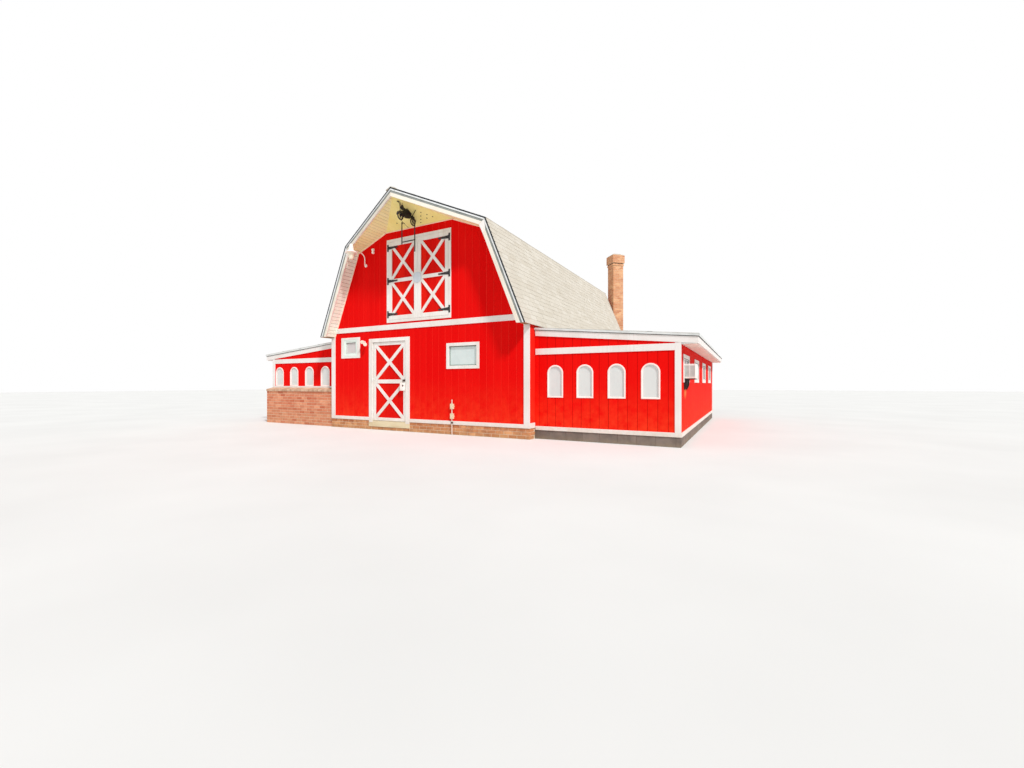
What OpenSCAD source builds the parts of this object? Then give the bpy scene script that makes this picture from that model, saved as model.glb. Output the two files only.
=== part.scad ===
// Gambrel barn with two lean-to wings, a hay hood over the loft door and a brick stack behind.
// X runs along the front, Y runs from the front to the rear, Z is up, all in millimetres.

/* [Main barn] */
// Width over the main walls
main_w = 6510; // [5800:10:7200]
// Length of the main walls, front to rear
main_l = 9000; // [8600:10:10000]
// Thickness of the main walls
wall_t = 150; // [120:5:200]
// Height of the main foundation
foundation_h = 254; // [220:1:300]
// Width of the foundation under a wall
foundation_t = 240; // [220:5:300]
// Thickness of the floor decks
deck_t = 45; // [30:5:60]
// Height of the loft floor's underside
loft_z = 2735; // [2700:5:2780]
// Thickness of the loft floor
loft_t = 148; // [120:4:180]

/* [Main roof] */
// Height of the ridge
ridge_h = 6030; // [5800:10:6300]
// Height of the roof's knee
knee_h = 5114; // [4900:10:5200]
// Distance of the knee from the centre
knee_x = 2290; // [2150:10:2400]
// Height of the eave
eave_h = 2629; // [2600:5:2680]
// How far the eave stands out from the wall
eave_out = 58; // [40:2:90]
// Thickness of the roof, square to its slope
roof_t = 158; // [130:2:180]
// How far the roof passes the end walls
rake_out = 325; // [250:5:400]
// How far the hay hood's peak passes the front wall
hood_out = 975; // [800:5:1100]
// Thickness of the plywood under the hood
hood_board_t = 18; // [12:1:25]
// Half width of the plywood under the hood, at the wall
hood_half_w = 1120; // [900:10:1250]

/* [Wings] */
// Width of a wing
wing_w = 3199; // [2900:10:3500]
// How far a wing's front stands behind the main front
wing_setback = 265; // [220:5:320]
// Thickness of the wing walls
wing_wall_t = 120; // [100:5:150]
// Height of a wing's foundation
wing_foundation_h = 205; // [180:5:240]
// Height of a wing's roof at the main wall
wing_roof_h = 2574; // [2540:2:2590]
// Fall of a wing's roof, for each metre out
wing_fall = 91; // [60:1:120]
// Upright thickness of a wing's roof
wing_roof_t = 140; // [120:5:160]
// How far a wing's eave stands out
wing_eave_out = 321; // [250:5:400]
// Height of the underside of a wing's eave box
wing_soffit_z = 2063; // [2030:1:2075]
// Thickness of the top sheet that passes the wing's fascia
top_sheet_t = 48; // [30:2:60]

/* [White trim] */
// Thickness of the trim boards on the walls
trim_t = 22; // [15:1:30]
// Width of the main corner boards
corner_w = 145; // [110:5:180]
// Width of the wings' corner boards
wing_corner_w = 114; // [90:2:140]
// Height of the baseboards
base_board_h = 90; // [60:5:120]
// Height of the board beside each wing, on the main side wall
return_board_h = 120; // [100:5:140]
// Height of the belt boards
belt_h = 140; // [110:5:148]
// Height of the underside of the wings' belt boards
wing_belt_z = 1943; // [1900:1:1946]
// Thickness of the fascia boards
fascia_t = 25; // [18:1:32]
// Depth of the rake boards below the roof's top
rake_depth = 200; // [185:5:230]

/* [Front door] */
// Width of the clear doorway
door_w = 1193; // [1000:1:1250]
// Centre of the doorway from the barn's centre
door_x = -1007; // [-1100:1:-900]
// Height of the doorway's head above the lowest ground
door_head_z = 2425; // [2350:5:2450]
// Width of the casing beside the doorway
door_casing_w = 140; // [100:5:160]
// Height of the casing's head board
head_casing_h = 100; // [80:5:140]
// Depth of the leaf's face behind the casing's face
leaf_setback = 30; // [25:1:45]
// Thickness of the door leaf's boards
leaf_board_t = 25; // [18:1:32]
// Thickness of the leaf's white rails
leaf_rail_t = 20; // [15:1:25]
// Width of the leaf's stiles and of its top and bottom rails
leaf_rail_w = 85; // [70:5:110]
// Gap round the leaf
leaf_gap = 7; // [7:0.5:10]
// Thickness of the lining round the doorway
lining_t = 25; // [18:1:35]
// Outer diameter of the hinge barrels
barrel_d = 18; // [14:1:22]

/* [Loft door] */
// Width over the loft door's casing
loft_door_w = 2148; // [1900:4:2200]
// Underside of the loft door's casing
loft_door_z = 2932; // [2900:2:2950]
// Height over the loft door's casing
loft_door_h = 2255; // [2100:5:2300]
// Width of the casing's boards
loft_casing_w = 70; // [50:5:90]
// Width of the loft leaves' stiles and rails
loft_rail_w = 110; // [90:5:130]
// Width of the loft leaves' braces
loft_brace_w = 80; // [60:5:95]
// Width of the eight-sided plate where the braces meet
loft_plate_w = 270; // [200:10:320]

/* [Windows] */
// Width over the right front window's casing
window_w = 977; // [850:1:1050]
// Height over the right front window's casing
window_h = 646; // [560:1:700]
// Width of that casing
window_casing = 80; // [60:2:95]
// Centre of the right front window
window_x = 1419; // [1300:5:1500]
// Underside of its casing
window_z = 1646; // [1560:2:1700]
// Width of the small window's opening
small_open_w = 390; // [330:5:450]
// Height of the small window's opening
small_open_h = 310; // [260:5:360]
// Width of the small window's casing at its sides
small_casing_w = 200; // [150:5:210]
// Width of the small window's casing above and below
small_casing_h = 152; // [120:2:165]
// Centre of the small window
small_x = -2474; // [-2560:2:-2440]
// Underside of the small window's opening
small_z = 2150; // [2120:2:2180]
// Width over a side window's casing
side_window_w = 1050; // [900:5:1200]
// Height over a side window's casing
side_window_h = 580; // [480:5:600]
// Underside of the side windows' casing
side_window_z = 1300; // [1250:5:1350]
// First side window's centre behind the main front
side_window_first = 1060; // [1000:5:1150]
// Last side window's centre in front of the rear wall
side_window_last = 1445; // [1300:5:1600]
// Number of side windows in a wing
side_windows = 4; // [2:1:4]
// Thickness of the window glass
glass_t = 6; // [4:1:10]

/* [Arched windows] */
// Width over an arched window's rim in the right wing
arch_w = 381; // [320:1:420]
// Height over an arched window's rim in the right wing
arch_h = 738; // [640:2:780]
// Underside of the right wing's arched windows
arch_z = 959; // [900:1:1000]
// Rise of the arch
arch_rise = 165; // [120:5:180]
// Width of the white rim
arch_rim = 22; // [15:1:30]
// First arched window's centre out from the main wall, right wing
arch_first = 515; // [480:5:560]
// Distance between the right wing's arched windows
arch_pitch = 700; // [640:2:720]
// Number of arched windows in each wing
arches = 4; // [2:1:4]
// Width over an arched window's rim in the left wing
left_arch_w = 400; // [340:5:440]
// Height over an arched window's rim in the left wing
left_arch_h = 620; // [540:5:660]
// First arched window's centre out from the main wall, left wing
left_arch_first = 625; // [560:5:680]
// Distance between the left wing's arched windows
left_arch_pitch = 740; // [660:5:760]

/* [Brick wainscot] */
// Height of the brick wainscot's top course
wainscot_h = 1040; // [900:5:1060]
// Thickness of the wainscot
wainscot_t = 215; // [180:5:220]
// Height of its sloping sill
sill_h = 110; // [80:5:120]
// Gap between the wainscot and the main wall
wainscot_gap = 45; // [30:5:60]
// How far the sill passes the wainscot's face
sill_out = 30; // [15:5:40]
// Height of the white board behind the sill
sill_board_h = 50; // [30:5:55]

/* [Chimney] */
// Side of the square stack
stack_w = 455; // [400:5:520]
// Height of the stack
stack_h = 6755; // [6400:5:7000]
// Wall of the flue
flue_wall = 110; // [90:5:130]
// Centre of the stack in from the main wall's right side
stack_in = 615; // [560:5:720]
// Gap between the rear roof edge and the stack's corner
stack_gap = 25; // [15:5:60]
// Height of the base that the stack rises from
stack_base_h = 1900; // [1500:10:2000]
// Width of that base along the rear wall
stack_base_w = 900; // [800:10:920]

/* [Fittings] */
// Diameter of the barn light's shade
shade_d = 310; // [260:5:340]
// Diameter of the barn light's arm
arm_d = 24; // [18:1:30]
// Reach of the barn light's arm from the wall
arm_reach = 530; // [500:5:600]
// Length of the air conditioner along the wall
cooler_l = 500; // [420:5:560]
// Height of the air conditioner
cooler_h = 300; // [260:5:330]
// How far the air conditioner stands out
cooler_out = 210; // [150:5:280]
// Thickness of the ornament's plate
ornament_t = 20; // [12:1:30]
// Radius of the ornament's front wheel
ornament_wheel = 96; // [80:1:105]

/* [Hidden] */
$fn = 48;

red = [0.72, 0.06, 0.05];
white = [0.93, 0.92, 0.88];
brick = [0.72, 0.40, 0.27];
block = [0.62, 0.61, 0.58];
shingle = [0.85, 0.82, 0.74];
timber = [0.76, 0.62, 0.42];
black = [0.08, 0.08, 0.08];
pane = [0.78, 0.84, 0.84];

// Contact clearance between a pane, plank or deck and what holds it
fit = 0.3;
front_y = -main_l / 2;
rear_y = main_l / 2;
wall_x = main_w / 2;
inner_x = wall_x - wall_t;
eave_x = wall_x + eave_out;
wing_y = front_y + wing_setback;
wing_x = wall_x + wing_w;
wing_inner_x = wing_x - wing_wall_t;
wing_eave_x = wing_x + wing_eave_out;
stack_x = wall_x - stack_in;
floor_z = foundation_h - 9;
wing_floor_z = wing_foundation_h - 5;
loft_top = loft_z + loft_t;
belt_z = loft_top - belt_h;

// Slopes of the two roof planes, and lengths along them for each unit across
slope_up = (ridge_h - knee_h) / knee_x;
slope_low = (knee_h - eave_h) / (eave_x - knee_x);
len_up = sqrt(1 + slope_up * slope_up);
len_low = sqrt(1 + slope_low * slope_low);

// The roof's lines at a depth below its top, measured square to the slopes
function ridge_at(d) = ridge_h - d * len_up;
function knee_x_at(d) = (knee_x - d * len_low / slope_low + (knee_h - ridge_at(d)) / slope_low)
    / (1 - slope_up / slope_low);
function knee_z_at(d) = ridge_at(d) - slope_up * knee_x_at(d);
function low_x_at(d, z) = knee_x_at(d) + (knee_z_at(d) - z) / slope_low;
function upper_z_at(d, x) = ridge_at(d) - slope_up * x;

// The wing roof's top at a distance from the centre
function wing_top(x) = wing_roof_h - (x - wall_x) * wing_fall / 1000;
function wing_under(x) = wing_top(x) - wing_roof_t;

// Extrudes an outline drawn in X and Z from y0 to y1
module along_y(y0, y1) {
    translate([0, y1, 0])
        rotate([90, 0, 0])
            linear_extrude(y1 - y0)
                children();
}

// Extrudes an outline drawn in Y and Z from x0 to x1
module along_x(x0, x1) {
    translate([x0, 0, 0])
        rotate([90, 0, 90])
            linear_extrude(x1 - x0)
                children();
}

module box(x0, x1, y0, y1, z0, z1) {
    translate([x0, y0, z0])
        cube([x1 - x0, y1 - y0, z1 - z0]);
}

module both_sides() {
    children();
    mirror([1, 0, 0])
        children();
}

module rect2(x0, x1, z0, z1) {
    translate([x0, z0])
        square([x1 - x0, z1 - z0]);
}

// Foundations and floors

// A foundation wall with a ledge inside that carries the floor deck
module foundation_ring(x0, x1, y0, y1, top, seat, ledge) {
    inner = foundation_t;
    difference() {
        box(x0, x1, y0, y1, 0, top);
        box(x0 + inner, x1 - inner, y0 + inner, y1 - inner, -1, top + 1);
        box(x0 + ledge, x1 - ledge, y0 + ledge, y1 - ledge, seat, top + 1);
    }
}

module main_foundation() {
    color(brick)
        difference() {
            foundation_ring(-wall_x, wall_x, front_y, rear_y, foundation_h,
                floor_z - deck_t, wall_t);
            box(door_x - door_w / 2, door_x + door_w / 2, front_y - 1, front_y + wall_t + 1,
                sill_seat_z, foundation_h + 1);
        }
}

module wing_foundations() {
    color(block)
        both_sides()
            foundation_ring(wall_x, wing_x, wing_y, rear_y, wing_foundation_h,
                wing_floor_z - deck_t, wing_wall_t);
}

module main_floor() {
    color(timber)
        box(-inner_x + fit, inner_x - fit, front_y + wall_t + fit, rear_y - wall_t - fit,
            floor_z - deck_t, floor_z);
}

module wing_floors() {
    color(block)
        both_sides()
            box(wall_x + wing_wall_t + fit, wing_inner_x - fit, wing_y + wing_wall_t + fit,
                rear_y - wing_wall_t - fit, wing_floor_z - deck_t, wing_floor_z);
}

// An upright band of the gambrel's inside, from z0 to z1, below the knee
module band2(z0, z1) {
    polygon([[-low_x_at(roof_t, z0), z0], [low_x_at(roof_t, z0), z0],
        [low_x_at(roof_t, z1), z1], [-low_x_at(roof_t, z1), z1]]);
}

module loft_floor() {
    color(timber)
        along_y(front_y, rear_y)
            band2(loft_z, loft_top);
}

// Main walls

// The part of an end wall below the loft floor
module end_wall2() {
    intersection() {
        rect2(-wall_x, wall_x, foundation_h, loft_z);
        polygon([[-wall_x, foundation_h], [wall_x, foundation_h], [wall_x, eave_h],
            [low_x_at(roof_t, eave_h), eave_h], [low_x_at(roof_t, loft_z), loft_z],
            [-low_x_at(roof_t, loft_z), loft_z], [-low_x_at(roof_t, eave_h), eave_h],
            [-wall_x, eave_h]]);
    }
}

// The part of an end wall above the loft floor
module gable2() {
    polygon([[-low_x_at(roof_t, loft_top), loft_top], [low_x_at(roof_t, loft_top), loft_top],
        [knee_x_at(roof_t), knee_z_at(roof_t)], [0, ridge_at(roof_t)],
        [-knee_x_at(roof_t), knee_z_at(roof_t)]]);
}

hole_w = door_w + 2 * lining_t;
hole_left = door_x - hole_w / 2;
hole_right = door_x + hole_w / 2;
hole_top = door_head_z + lining_t;

module window_hole2(x, z, w, h) {
    rect2(x - w / 2, x + w / 2, z, z + h);
}

// Clear openings inside the casings
window_open_w = window_w - 2 * window_casing;
window_open_h = window_h - 2 * window_casing;
window_open_z = window_z + window_casing;
side_open_w = side_window_w - 2 * window_casing;
side_open_h = side_window_h - 2 * window_casing;
side_open_z = side_window_z + window_casing;
frame_t = 18;

// The wall's hole is larger than the opening by the frame's own thickness
module frame_hole2(x, z, w, h) {
    window_hole2(x, z - frame_t, w + 2 * frame_t, h + 2 * frame_t);
}

module front_wall_left() {
    color(red)
        along_y(front_y, front_y + wall_t)
            difference() {
                intersection() {
                    end_wall2();
                    rect2(-wall_x, hole_left, foundation_h, loft_z);
                }
                frame_hole2(small_x, small_z, small_open_w, small_open_h);
            }
}

module front_wall_right() {
    color(red)
        along_y(front_y, front_y + wall_t)
            difference() {
                intersection() {
                    end_wall2();
                    rect2(hole_right, wall_x, foundation_h, loft_z);
                }
                frame_hole2(window_x, window_open_z, window_open_w, window_open_h);
            }
}

module front_wall_over_door() {
    color(red)
        box(hole_left, hole_right, front_y, front_y + wall_t, hole_top, loft_z);
}

loft_open_w = loft_door_w - 2 * loft_casing_w;
loft_open_z = loft_door_z + loft_casing_w;
loft_open_h = loft_door_h - 2 * loft_casing_w;

module front_gable() {
    color(red)
        along_y(front_y, front_y + wall_t)
            difference() {
                gable2();
                frame_hole2(0, loft_open_z, loft_open_w, loft_open_h);
            }
}

rear_window_x = 1600;
rear_loft_z = 3700;

module rear_wall() {
    color(red)
        along_y(rear_y - wall_t, rear_y)
            difference() {
                end_wall2();
                for (x = [-rear_window_x, rear_window_x])
                    frame_hole2(x, window_open_z, window_open_w, window_open_h);
            }
}

module rear_gable() {
    color(red)
        along_y(rear_y - wall_t, rear_y)
            difference() {
                gable2();
                frame_hole2(0, rear_loft_z + window_casing, window_open_w, window_open_h);
            }
}

// The plain passage from the main barn into a wing
passage_w = 1200;
passage_h = 2100;
ledger_t = 60;
ledger_h = 120;

module main_side_walls() {
    color(red)
        both_sides()
            difference() {
                along_y(front_y + wall_t, rear_y - wall_t)
                    polygon([[wall_x, foundation_h], [wall_x, eave_h],
                        [low_x_at(roof_t, eave_h), eave_h], [low_x_at(roof_t, loft_z), loft_z],
                        [inner_x - ledger_t, loft_z],
                        [inner_x - ledger_t, loft_z - ledger_h], [inner_x, loft_z - ledger_h],
                        [inner_x, foundation_h]]);
                box(inner_x - 1, wall_x + 1, -passage_w / 2, passage_w / 2,
                    foundation_h - 1, foundation_h + passage_h);
            }
}

// Wing walls

// A wing's end wall, right side
module wing_end2() {
    polygon([[wall_x, wing_foundation_h], [wing_x, wing_foundation_h],
        [wing_x, wing_under(wing_x)], [wall_x, wing_under(wall_x)]]);
}

// Outline with a round top, on its baseline
module arch2(w, h, rise) {
    r = (w * w / 4 + rise * rise) / (2 * rise);
    translate([-w / 2, 0])
        square([w, h - r + 1]);
    intersection() {
        translate([0, h - r])
            circle(r, $fn = 96);
        translate([-w / 2, h - r])
            square([w, r]);
    }
}

function arch_x(i) = wall_x + arch_first + i * arch_pitch;
function left_arch_x(i) = wall_x + left_arch_first + i * left_arch_pitch;
left_arch_z = wainscot_h + sill_h + sill_board_h;

module right_wing_front_wall() {
    color(red)
        along_y(wing_y, wing_y + wing_wall_t)
            difference() {
                wing_end2();
                for (i = [0 : arches - 1])
                    translate([arch_x(i), arch_z])
                        arch2(arch_w, arch_h, arch_rise);
            }
}

module left_wing_front_wall() {
    color(red)
        mirror([1, 0, 0])
            along_y(wing_y, wing_y + wing_wall_t)
                difference() {
                    wing_end2();
                    for (i = [0 : arches - 1])
                        translate([left_arch_x(i), left_arch_z])
                            arch2(left_arch_w, left_arch_h, arch_rise);
                }
}

side_window_pitch = (main_l - side_window_first - side_window_last) / (side_windows - 1);
function side_window_y(i) = front_y + side_window_first + i * side_window_pitch;

side_hole_low = side_open_z - frame_t;
side_hole_high = side_open_z + side_open_h + frame_t;
side_hole_half = side_open_w / 2 + frame_t;
side_wall_start = wing_y + wing_wall_t;
side_wall_end = rear_y - wing_wall_t;

// The posts beside and between a wing's side windows
module side_posts() {
    for (i = [0 : side_windows])
        box(wing_inner_x, wing_x,
            i == 0 ? side_wall_start : side_window_y(i - 1) + side_hole_half,
            i == side_windows ? side_wall_end : side_window_y(i) - side_hole_half,
            side_hole_low + fit, side_hole_high - fit);
}

// Each wing's side: a knee wall, posts on it, and a header that follows the roof
module wing_side_walls() {
    color(red)
        both_sides() {
            box(wing_inner_x, wing_x, side_wall_start, side_wall_end, wing_foundation_h,
                side_hole_low);
            side_posts();
            along_y(side_wall_start, side_wall_end)
                polygon([[wing_inner_x, side_hole_high], [wing_x, side_hole_high],
                    [wing_x, wing_under(wing_x)], [wing_inner_x, wing_under(wing_inner_x)]]);
        }
}

module wing_rear_walls() {
    color(red)
        both_sides()
            along_y(rear_y - wing_wall_t, rear_y)
                wing_end2();
}

wainscot_y = wing_y - wainscot_t;

module brick_wainscot() {
    color(brick)
        box(-wing_x, -wall_x - wainscot_gap, wainscot_y, wing_y, 0, wainscot_h);
}

module wainscot_sill() {
    color(brick)
        along_x(-wing_x, -wall_x - wainscot_gap)
            polygon([[wainscot_y - sill_out, wainscot_h], [wing_y, wainscot_h],
                [wing_y, wainscot_h + sill_h], [wing_y - trim_t, wainscot_h + sill_h],
                [wainscot_y - sill_out, wainscot_h + sill_h / 2]]);
}

// Main roof

// Plan of the upper slope: the front edge runs out from the knee to the hood's peak
module upper_plan2(grow) {
    polygon([[0, front_y - hood_out - grow], [knee_x, front_y - rake_out - grow],
        [knee_x, rear_y + rake_out + grow], [0, rear_y + rake_out + grow]]);
}

module roof_upper() {
    intersection() {
        along_y(front_y - hood_out - 1, rear_y + rake_out + 1)
            polygon([[0, ridge_h], [knee_x, knee_h],
                [knee_x_at(roof_t), knee_z_at(roof_t)], [0, ridge_at(roof_t)]]);
        linear_extrude(ridge_h + 1)
            upper_plan2(0);
    }
}

module roof_lower() {
    along_y(front_y - rake_out, rear_y + rake_out)
        polygon([[knee_x, knee_h], [eave_x, eave_h], [low_x_at(roof_t, eave_h), eave_h],
            [knee_x_at(roof_t), knee_z_at(roof_t)]]);
}

module roof_right_upper() {
    color(shingle)
        roof_upper();
}

module roof_left_upper() {
    color(shingle)
        mirror([1, 0, 0])
            roof_upper();
}

module roof_right_lower() {
    color(shingle)
        roof_lower();
}

module roof_left_lower() {
    color(shingle)
        mirror([1, 0, 0])
            roof_lower();
}

// Wing roofs: rafters with a boxed eave, under a top sheet that passes the fascia
module wing_roofs() {
    box_x = wing_eave_x - fascia_t;
    color(shingle)
        both_sides() {
            along_y(wing_y, rear_y)
                polygon([[wall_x, wing_top(wall_x)], [box_x, wing_top(box_x)],
                    [box_x, wing_soffit_z], [wing_x, wing_soffit_z],
                    [wing_x, wing_under(wing_x)], [wall_x, wing_under(wall_x)]]);
            along_y(wing_y - fascia_t - sheet_out, rear_y + fascia_t + sheet_out)
                polygon([[wall_x, wing_top(wall_x)],
                    [wing_eave_x + sheet_out, wing_top(wing_eave_x + sheet_out)],
                    [wing_eave_x + sheet_out, wing_top(wing_eave_x + sheet_out) - top_sheet_t],
                    [wall_x, wing_top(wall_x) - top_sheet_t]]);
        }
}

sheet_out = 15;
// The dark edge of the shingles shows above the rake boards
rake_drop = 14;

module rake_upper2() {
    polygon([[0, ridge_at(rake_drop)], [knee_x_at(rake_drop), knee_z_at(rake_drop)],
        [knee_x_at(rake_depth), knee_z_at(rake_depth)], [0, ridge_at(rake_depth)]]);
}

module rake_lower2() {
    polygon([[knee_x_at(rake_drop), knee_z_at(rake_drop)], [low_x_at(rake_drop, eave_h), eave_h],
        [low_x_at(rake_depth, eave_h), eave_h], [knee_x_at(rake_depth), knee_z_at(rake_depth)]]);
}

module fascia_boards() {
    color(white) {
        both_sides() {
            difference() {
                intersection() {
                    along_y(front_y - hood_out - fascia_t - 1, rear_y + rake_out + fascia_t + 1)
                        union() {
                            rake_upper2();
                            rake_lower2();
                        }
                    linear_extrude(ridge_h + 1)
                        union() {
                            upper_plan2(fascia_t);
                            translate([knee_x - 1, front_y - rake_out - fascia_t])
                                square([eave_x, main_l + 2 * rake_out + 2 * fascia_t]);
                        }
                }
                linear_extrude(ridge_h + 1)
                    union() {
                        upper_plan2(0);
                        translate([knee_x - 1, front_y - rake_out])
                            square([eave_x, main_l + 2 * rake_out]);
                    }
            }
            wing_fascia();
        }
    }
}

wing_fascia_h = 188;

// A wing's fascia, round its front, eave and rear, under the top sheet
module wing_fascia() {
    for (y = [wing_y - fascia_t, rear_y])
        along_y(y, y + fascia_t)
            polygon([[wall_x + corner_clear, wing_top(wall_x + corner_clear) - top_sheet_t],
                [wing_eave_x, wing_top(wing_eave_x) - top_sheet_t],
                [wing_eave_x, wing_top(wing_eave_x) - wing_fascia_h],
                [wall_x + corner_clear, wing_top(wall_x + corner_clear) - wing_fascia_h]]);
    along_y(wing_y, rear_y)
        polygon([[wing_eave_x - fascia_t, wing_top(wing_eave_x - fascia_t) - top_sheet_t],
            [wing_eave_x, wing_top(wing_eave_x) - top_sheet_t],
            [wing_eave_x, wing_top(wing_eave_x) - wing_fascia_h],
            [wing_eave_x - fascia_t, wing_top(wing_eave_x) - wing_fascia_h]]);
}

// Room that the main corner boards take beside a wing
corner_clear = trim_t + 3;

panel_foot_z = upper_z_at(roof_t + fit, hood_half_w);
panel_peak_z = ridge_at(roof_t + fit);
panel_peak_y = front_y - hood_out + fascia_t;

// Plywood that closes the hood below the roof, from the wall up to the peak
module hood_panel() {
    color(timber)
        intersection() {
            along_x(-hood_half_w, hood_half_w)
                polygon([[front_y, panel_foot_z], [panel_peak_y, panel_peak_z],
                    [panel_peak_y, panel_peak_z + hood_board_t],
                    [front_y, panel_foot_z + hood_board_t]]);
            along_y(panel_peak_y, front_y)
                polygon([[-hood_half_w, panel_foot_z], [0, panel_foot_z - 1],
                    [hood_half_w, panel_foot_z], [0, panel_peak_z]]);
        }
}

// Trim

// An L of two boards round a right-hand front corner
module corner_ell2(x, y, w) {
    polygon([[x - w, y - trim_t], [x + trim_t, y - trim_t], [x + trim_t, y + w - trim_t],
        [x, y + w - trim_t], [x, y], [x - w, y]]);
}

// A rear corner board of a wing, from z0 to the soffit, and on its end up to the fascia
module wing_corner(y, z0) {
    translate([0, 0, z0])
        linear_extrude(wing_soffit_z - z0)
            corner_ell2(wing_x, y, wing_corner_w);
    box(wing_x - wing_corner_w, wing_x, y - trim_t, y, wing_soffit_z - 1,
        wing_top(wing_x) - wing_fascia_h);
}

// How far a front corner board passes the wall's corner, over the siding's edge
corner_lap = 8;

// A flat board on a front beside its right-hand corner
module front_corner(x, y, w, z0, z1) {
    box(x - w, x + corner_lap, y - trim_t, y, z0, z1);
}

// The left wing's front board starts on the wainscot's sill
module corner_boards() {
    wing_board_top = wing_top(wing_x + corner_lap) - wing_fascia_h;
    color(white) {
        both_sides() {
            front_corner(wall_x, front_y, corner_w, foundation_h, eave_h);
            box(wall_x - corner_w, wall_x - fit, rear_y, rear_y + trim_t, foundation_h, eave_h);
            mirror([0, 1, 0])
                wing_corner(front_y, wing_foundation_h);
        }
        front_corner(wing_x, wing_y, wing_corner_w, wing_foundation_h, wing_board_top);
        mirror([1, 0, 0])
            front_corner(wing_x, wing_y, wing_corner_w, wainscot_h + sill_h, wing_board_top);
    }
}

module belt_boards() {
    color(white) {
        for (y = [front_y - trim_t, rear_y])
            along_y(y, y + trim_t)
                band2(belt_z, belt_z + belt_h);
        both_sides()
            for (y = [wing_y - trim_t, rear_y])
                box(wall_x + corner_clear, wing_x - wing_corner_w - fit, y, y + trim_t,
                    wing_belt_z, wing_belt_z + belt_h);
    }
}

casing_left = door_x - door_w / 2 - door_casing_w;
casing_right = door_x + door_w / 2 + door_casing_w;

module base_boards() {
    color(white) {
        board_top = foundation_h + base_board_h;
        box(-wall_x + corner_w + fit, casing_left - fit, front_y - trim_t, front_y,
            foundation_h, board_top);
        box(casing_right + fit, wall_x - corner_w - fit, front_y - trim_t, front_y,
            foundation_h, board_top);
        box(-wall_x + corner_w + fit, stack_x - stack_base_w / 2 - fit, rear_y,
            rear_y + trim_t, foundation_h, board_top);
        wing_top_z = wing_foundation_h + base_board_h;
        box(wall_x + corner_clear, wing_x - wing_corner_w - fit, wing_y - trim_t, wing_y,
            wing_foundation_h, wing_top_z);
        both_sides() {
            box(wall_x, wall_x + trim_t, front_y + fit, wing_y - trim_t - fit, foundation_h,
                foundation_h + return_board_h);
            box(wing_x, wing_x + trim_t, wing_y + fit, rear_y - wing_corner_w,
                wing_foundation_h, wing_top_z);
            box(wall_x + corner_clear, wing_x - wing_corner_w - fit, rear_y, rear_y + trim_t,
                wing_foundation_h, wing_top_z);
        }
        box(-wing_x + wing_corner_w + fit, -wall_x - wainscot_gap, wing_y - trim_t, wing_y,
            wainscot_h + sill_h, left_arch_z);
    }
}

// Front door

sill_t = 38;
sill_top = floor_z + 3;
sill_seat_z = sill_top - sill_t;
sill_low_z = 90;
leaf_left = door_x - door_w / 2 + leaf_gap;
// The free edge's gap is wider, because the leaf's inner corner first swings towards the jamb
leaf_right = door_x + door_w / 2 - leaf_gap - 3;
leaf_low = sill_top + 8;
leaf_high = door_head_z - leaf_gap;
leaf_face_y = front_y - trim_t + leaf_setback;
leaf_mid_y = leaf_face_y + leaf_rail_t;
leaf_back_y = leaf_mid_y + leaf_board_t;
stop_w = 15;
stop_t = 30;
stop_y = leaf_back_y + 5;

// The doorway's outline between its jambs, drawn in by the amount given
module doorway2(inset) {
    rect2(door_x - door_w / 2 + inset, door_x + door_w / 2 - inset, sill_low_z - 1,
        door_head_z - inset);
}

// Casing boards on the wall, the lining in the wall, and the stop behind the leaf
module door_casing() {
    color(white)
        union() {
            along_y(front_y - trim_t, front_y)
                difference() {
                    rect2(casing_left, casing_right, sill_low_z, door_head_z + head_casing_h);
                    doorway2(0);
                }
            along_y(front_y - trim_t / 2, front_y + wall_t)
                difference() {
                    rect2(hole_left, hole_right, foundation_h, hole_top);
                    doorway2(0);
                }
            along_y(stop_y, stop_y + stop_t)
                difference() {
                    rect2(hole_left, hole_right, foundation_h, hole_top);
                    doorway2(stop_w);
                }
        }
}

module door_sill() {
    color(timber)
        along_x(door_x - door_w / 2, door_x + door_w / 2)
            polygon([[front_y - trim_t, sill_low_z], [front_y, sill_low_z],
                [front_y, sill_seat_z], [front_y + wall_t, sill_seat_z],
                [front_y + wall_t, sill_top], [front_y - trim_t, sill_top]]);
}

module door_boards() {
    color(red)
        box(leaf_left, leaf_right, leaf_mid_y, leaf_back_y, leaf_low, leaf_high);
}

// A straight brace between two points of an outline, square at its ends
module brace2(a, b, w) {
    d = b - a;
    translate(a)
        rotate(atan2(d[1], d[0]))
            translate([-w, -w / 2])
                square([norm(d) + 2 * w, w]);
}

// Frame of stiles and rails with a mid rail and a cross in each panel
module braced_leaf2(x0, x1, z0, z1, rail, mid, brace) {
    zm = (z0 + z1) / 2;
    difference() {
        rect2(x0, x1, z0, z1);
        rect2(x0 + rail, x1 - rail, z0 + rail, zm - mid / 2);
        rect2(x0 + rail, x1 - rail, zm + mid / 2, z1 - rail);
    }
    intersection() {
        rect2(x0, x1, z0, z1);
        union() {
            for (panel = [[z0 + rail, zm - mid / 2], [zm + mid / 2, z1 - rail]]) {
                brace2([x0 + rail, panel[0]], [x1 - rail, panel[1]], brace);
                brace2([x0 + rail, panel[1]], [x1 - rail, panel[0]], brace);
            }
        }
    }
}

module door_rails() {
    color(white)
        along_y(leaf_face_y, leaf_mid_y)
            braced_leaf2(leaf_left, leaf_right, leaf_low, leaf_high, leaf_rail_w,
                leaf_rail_w * 1.25, leaf_rail_w * 1.06);
}

barrel_y = front_y - trim_t - barrel_d / 2 - 1;
barrel_x = leaf_left - leaf_gap / 2;
barrel_h = 100;
flap_t = 2;
hinge_heights = [leaf_low + 200, (leaf_low + leaf_high) / 2, leaf_high - 200];

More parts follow.
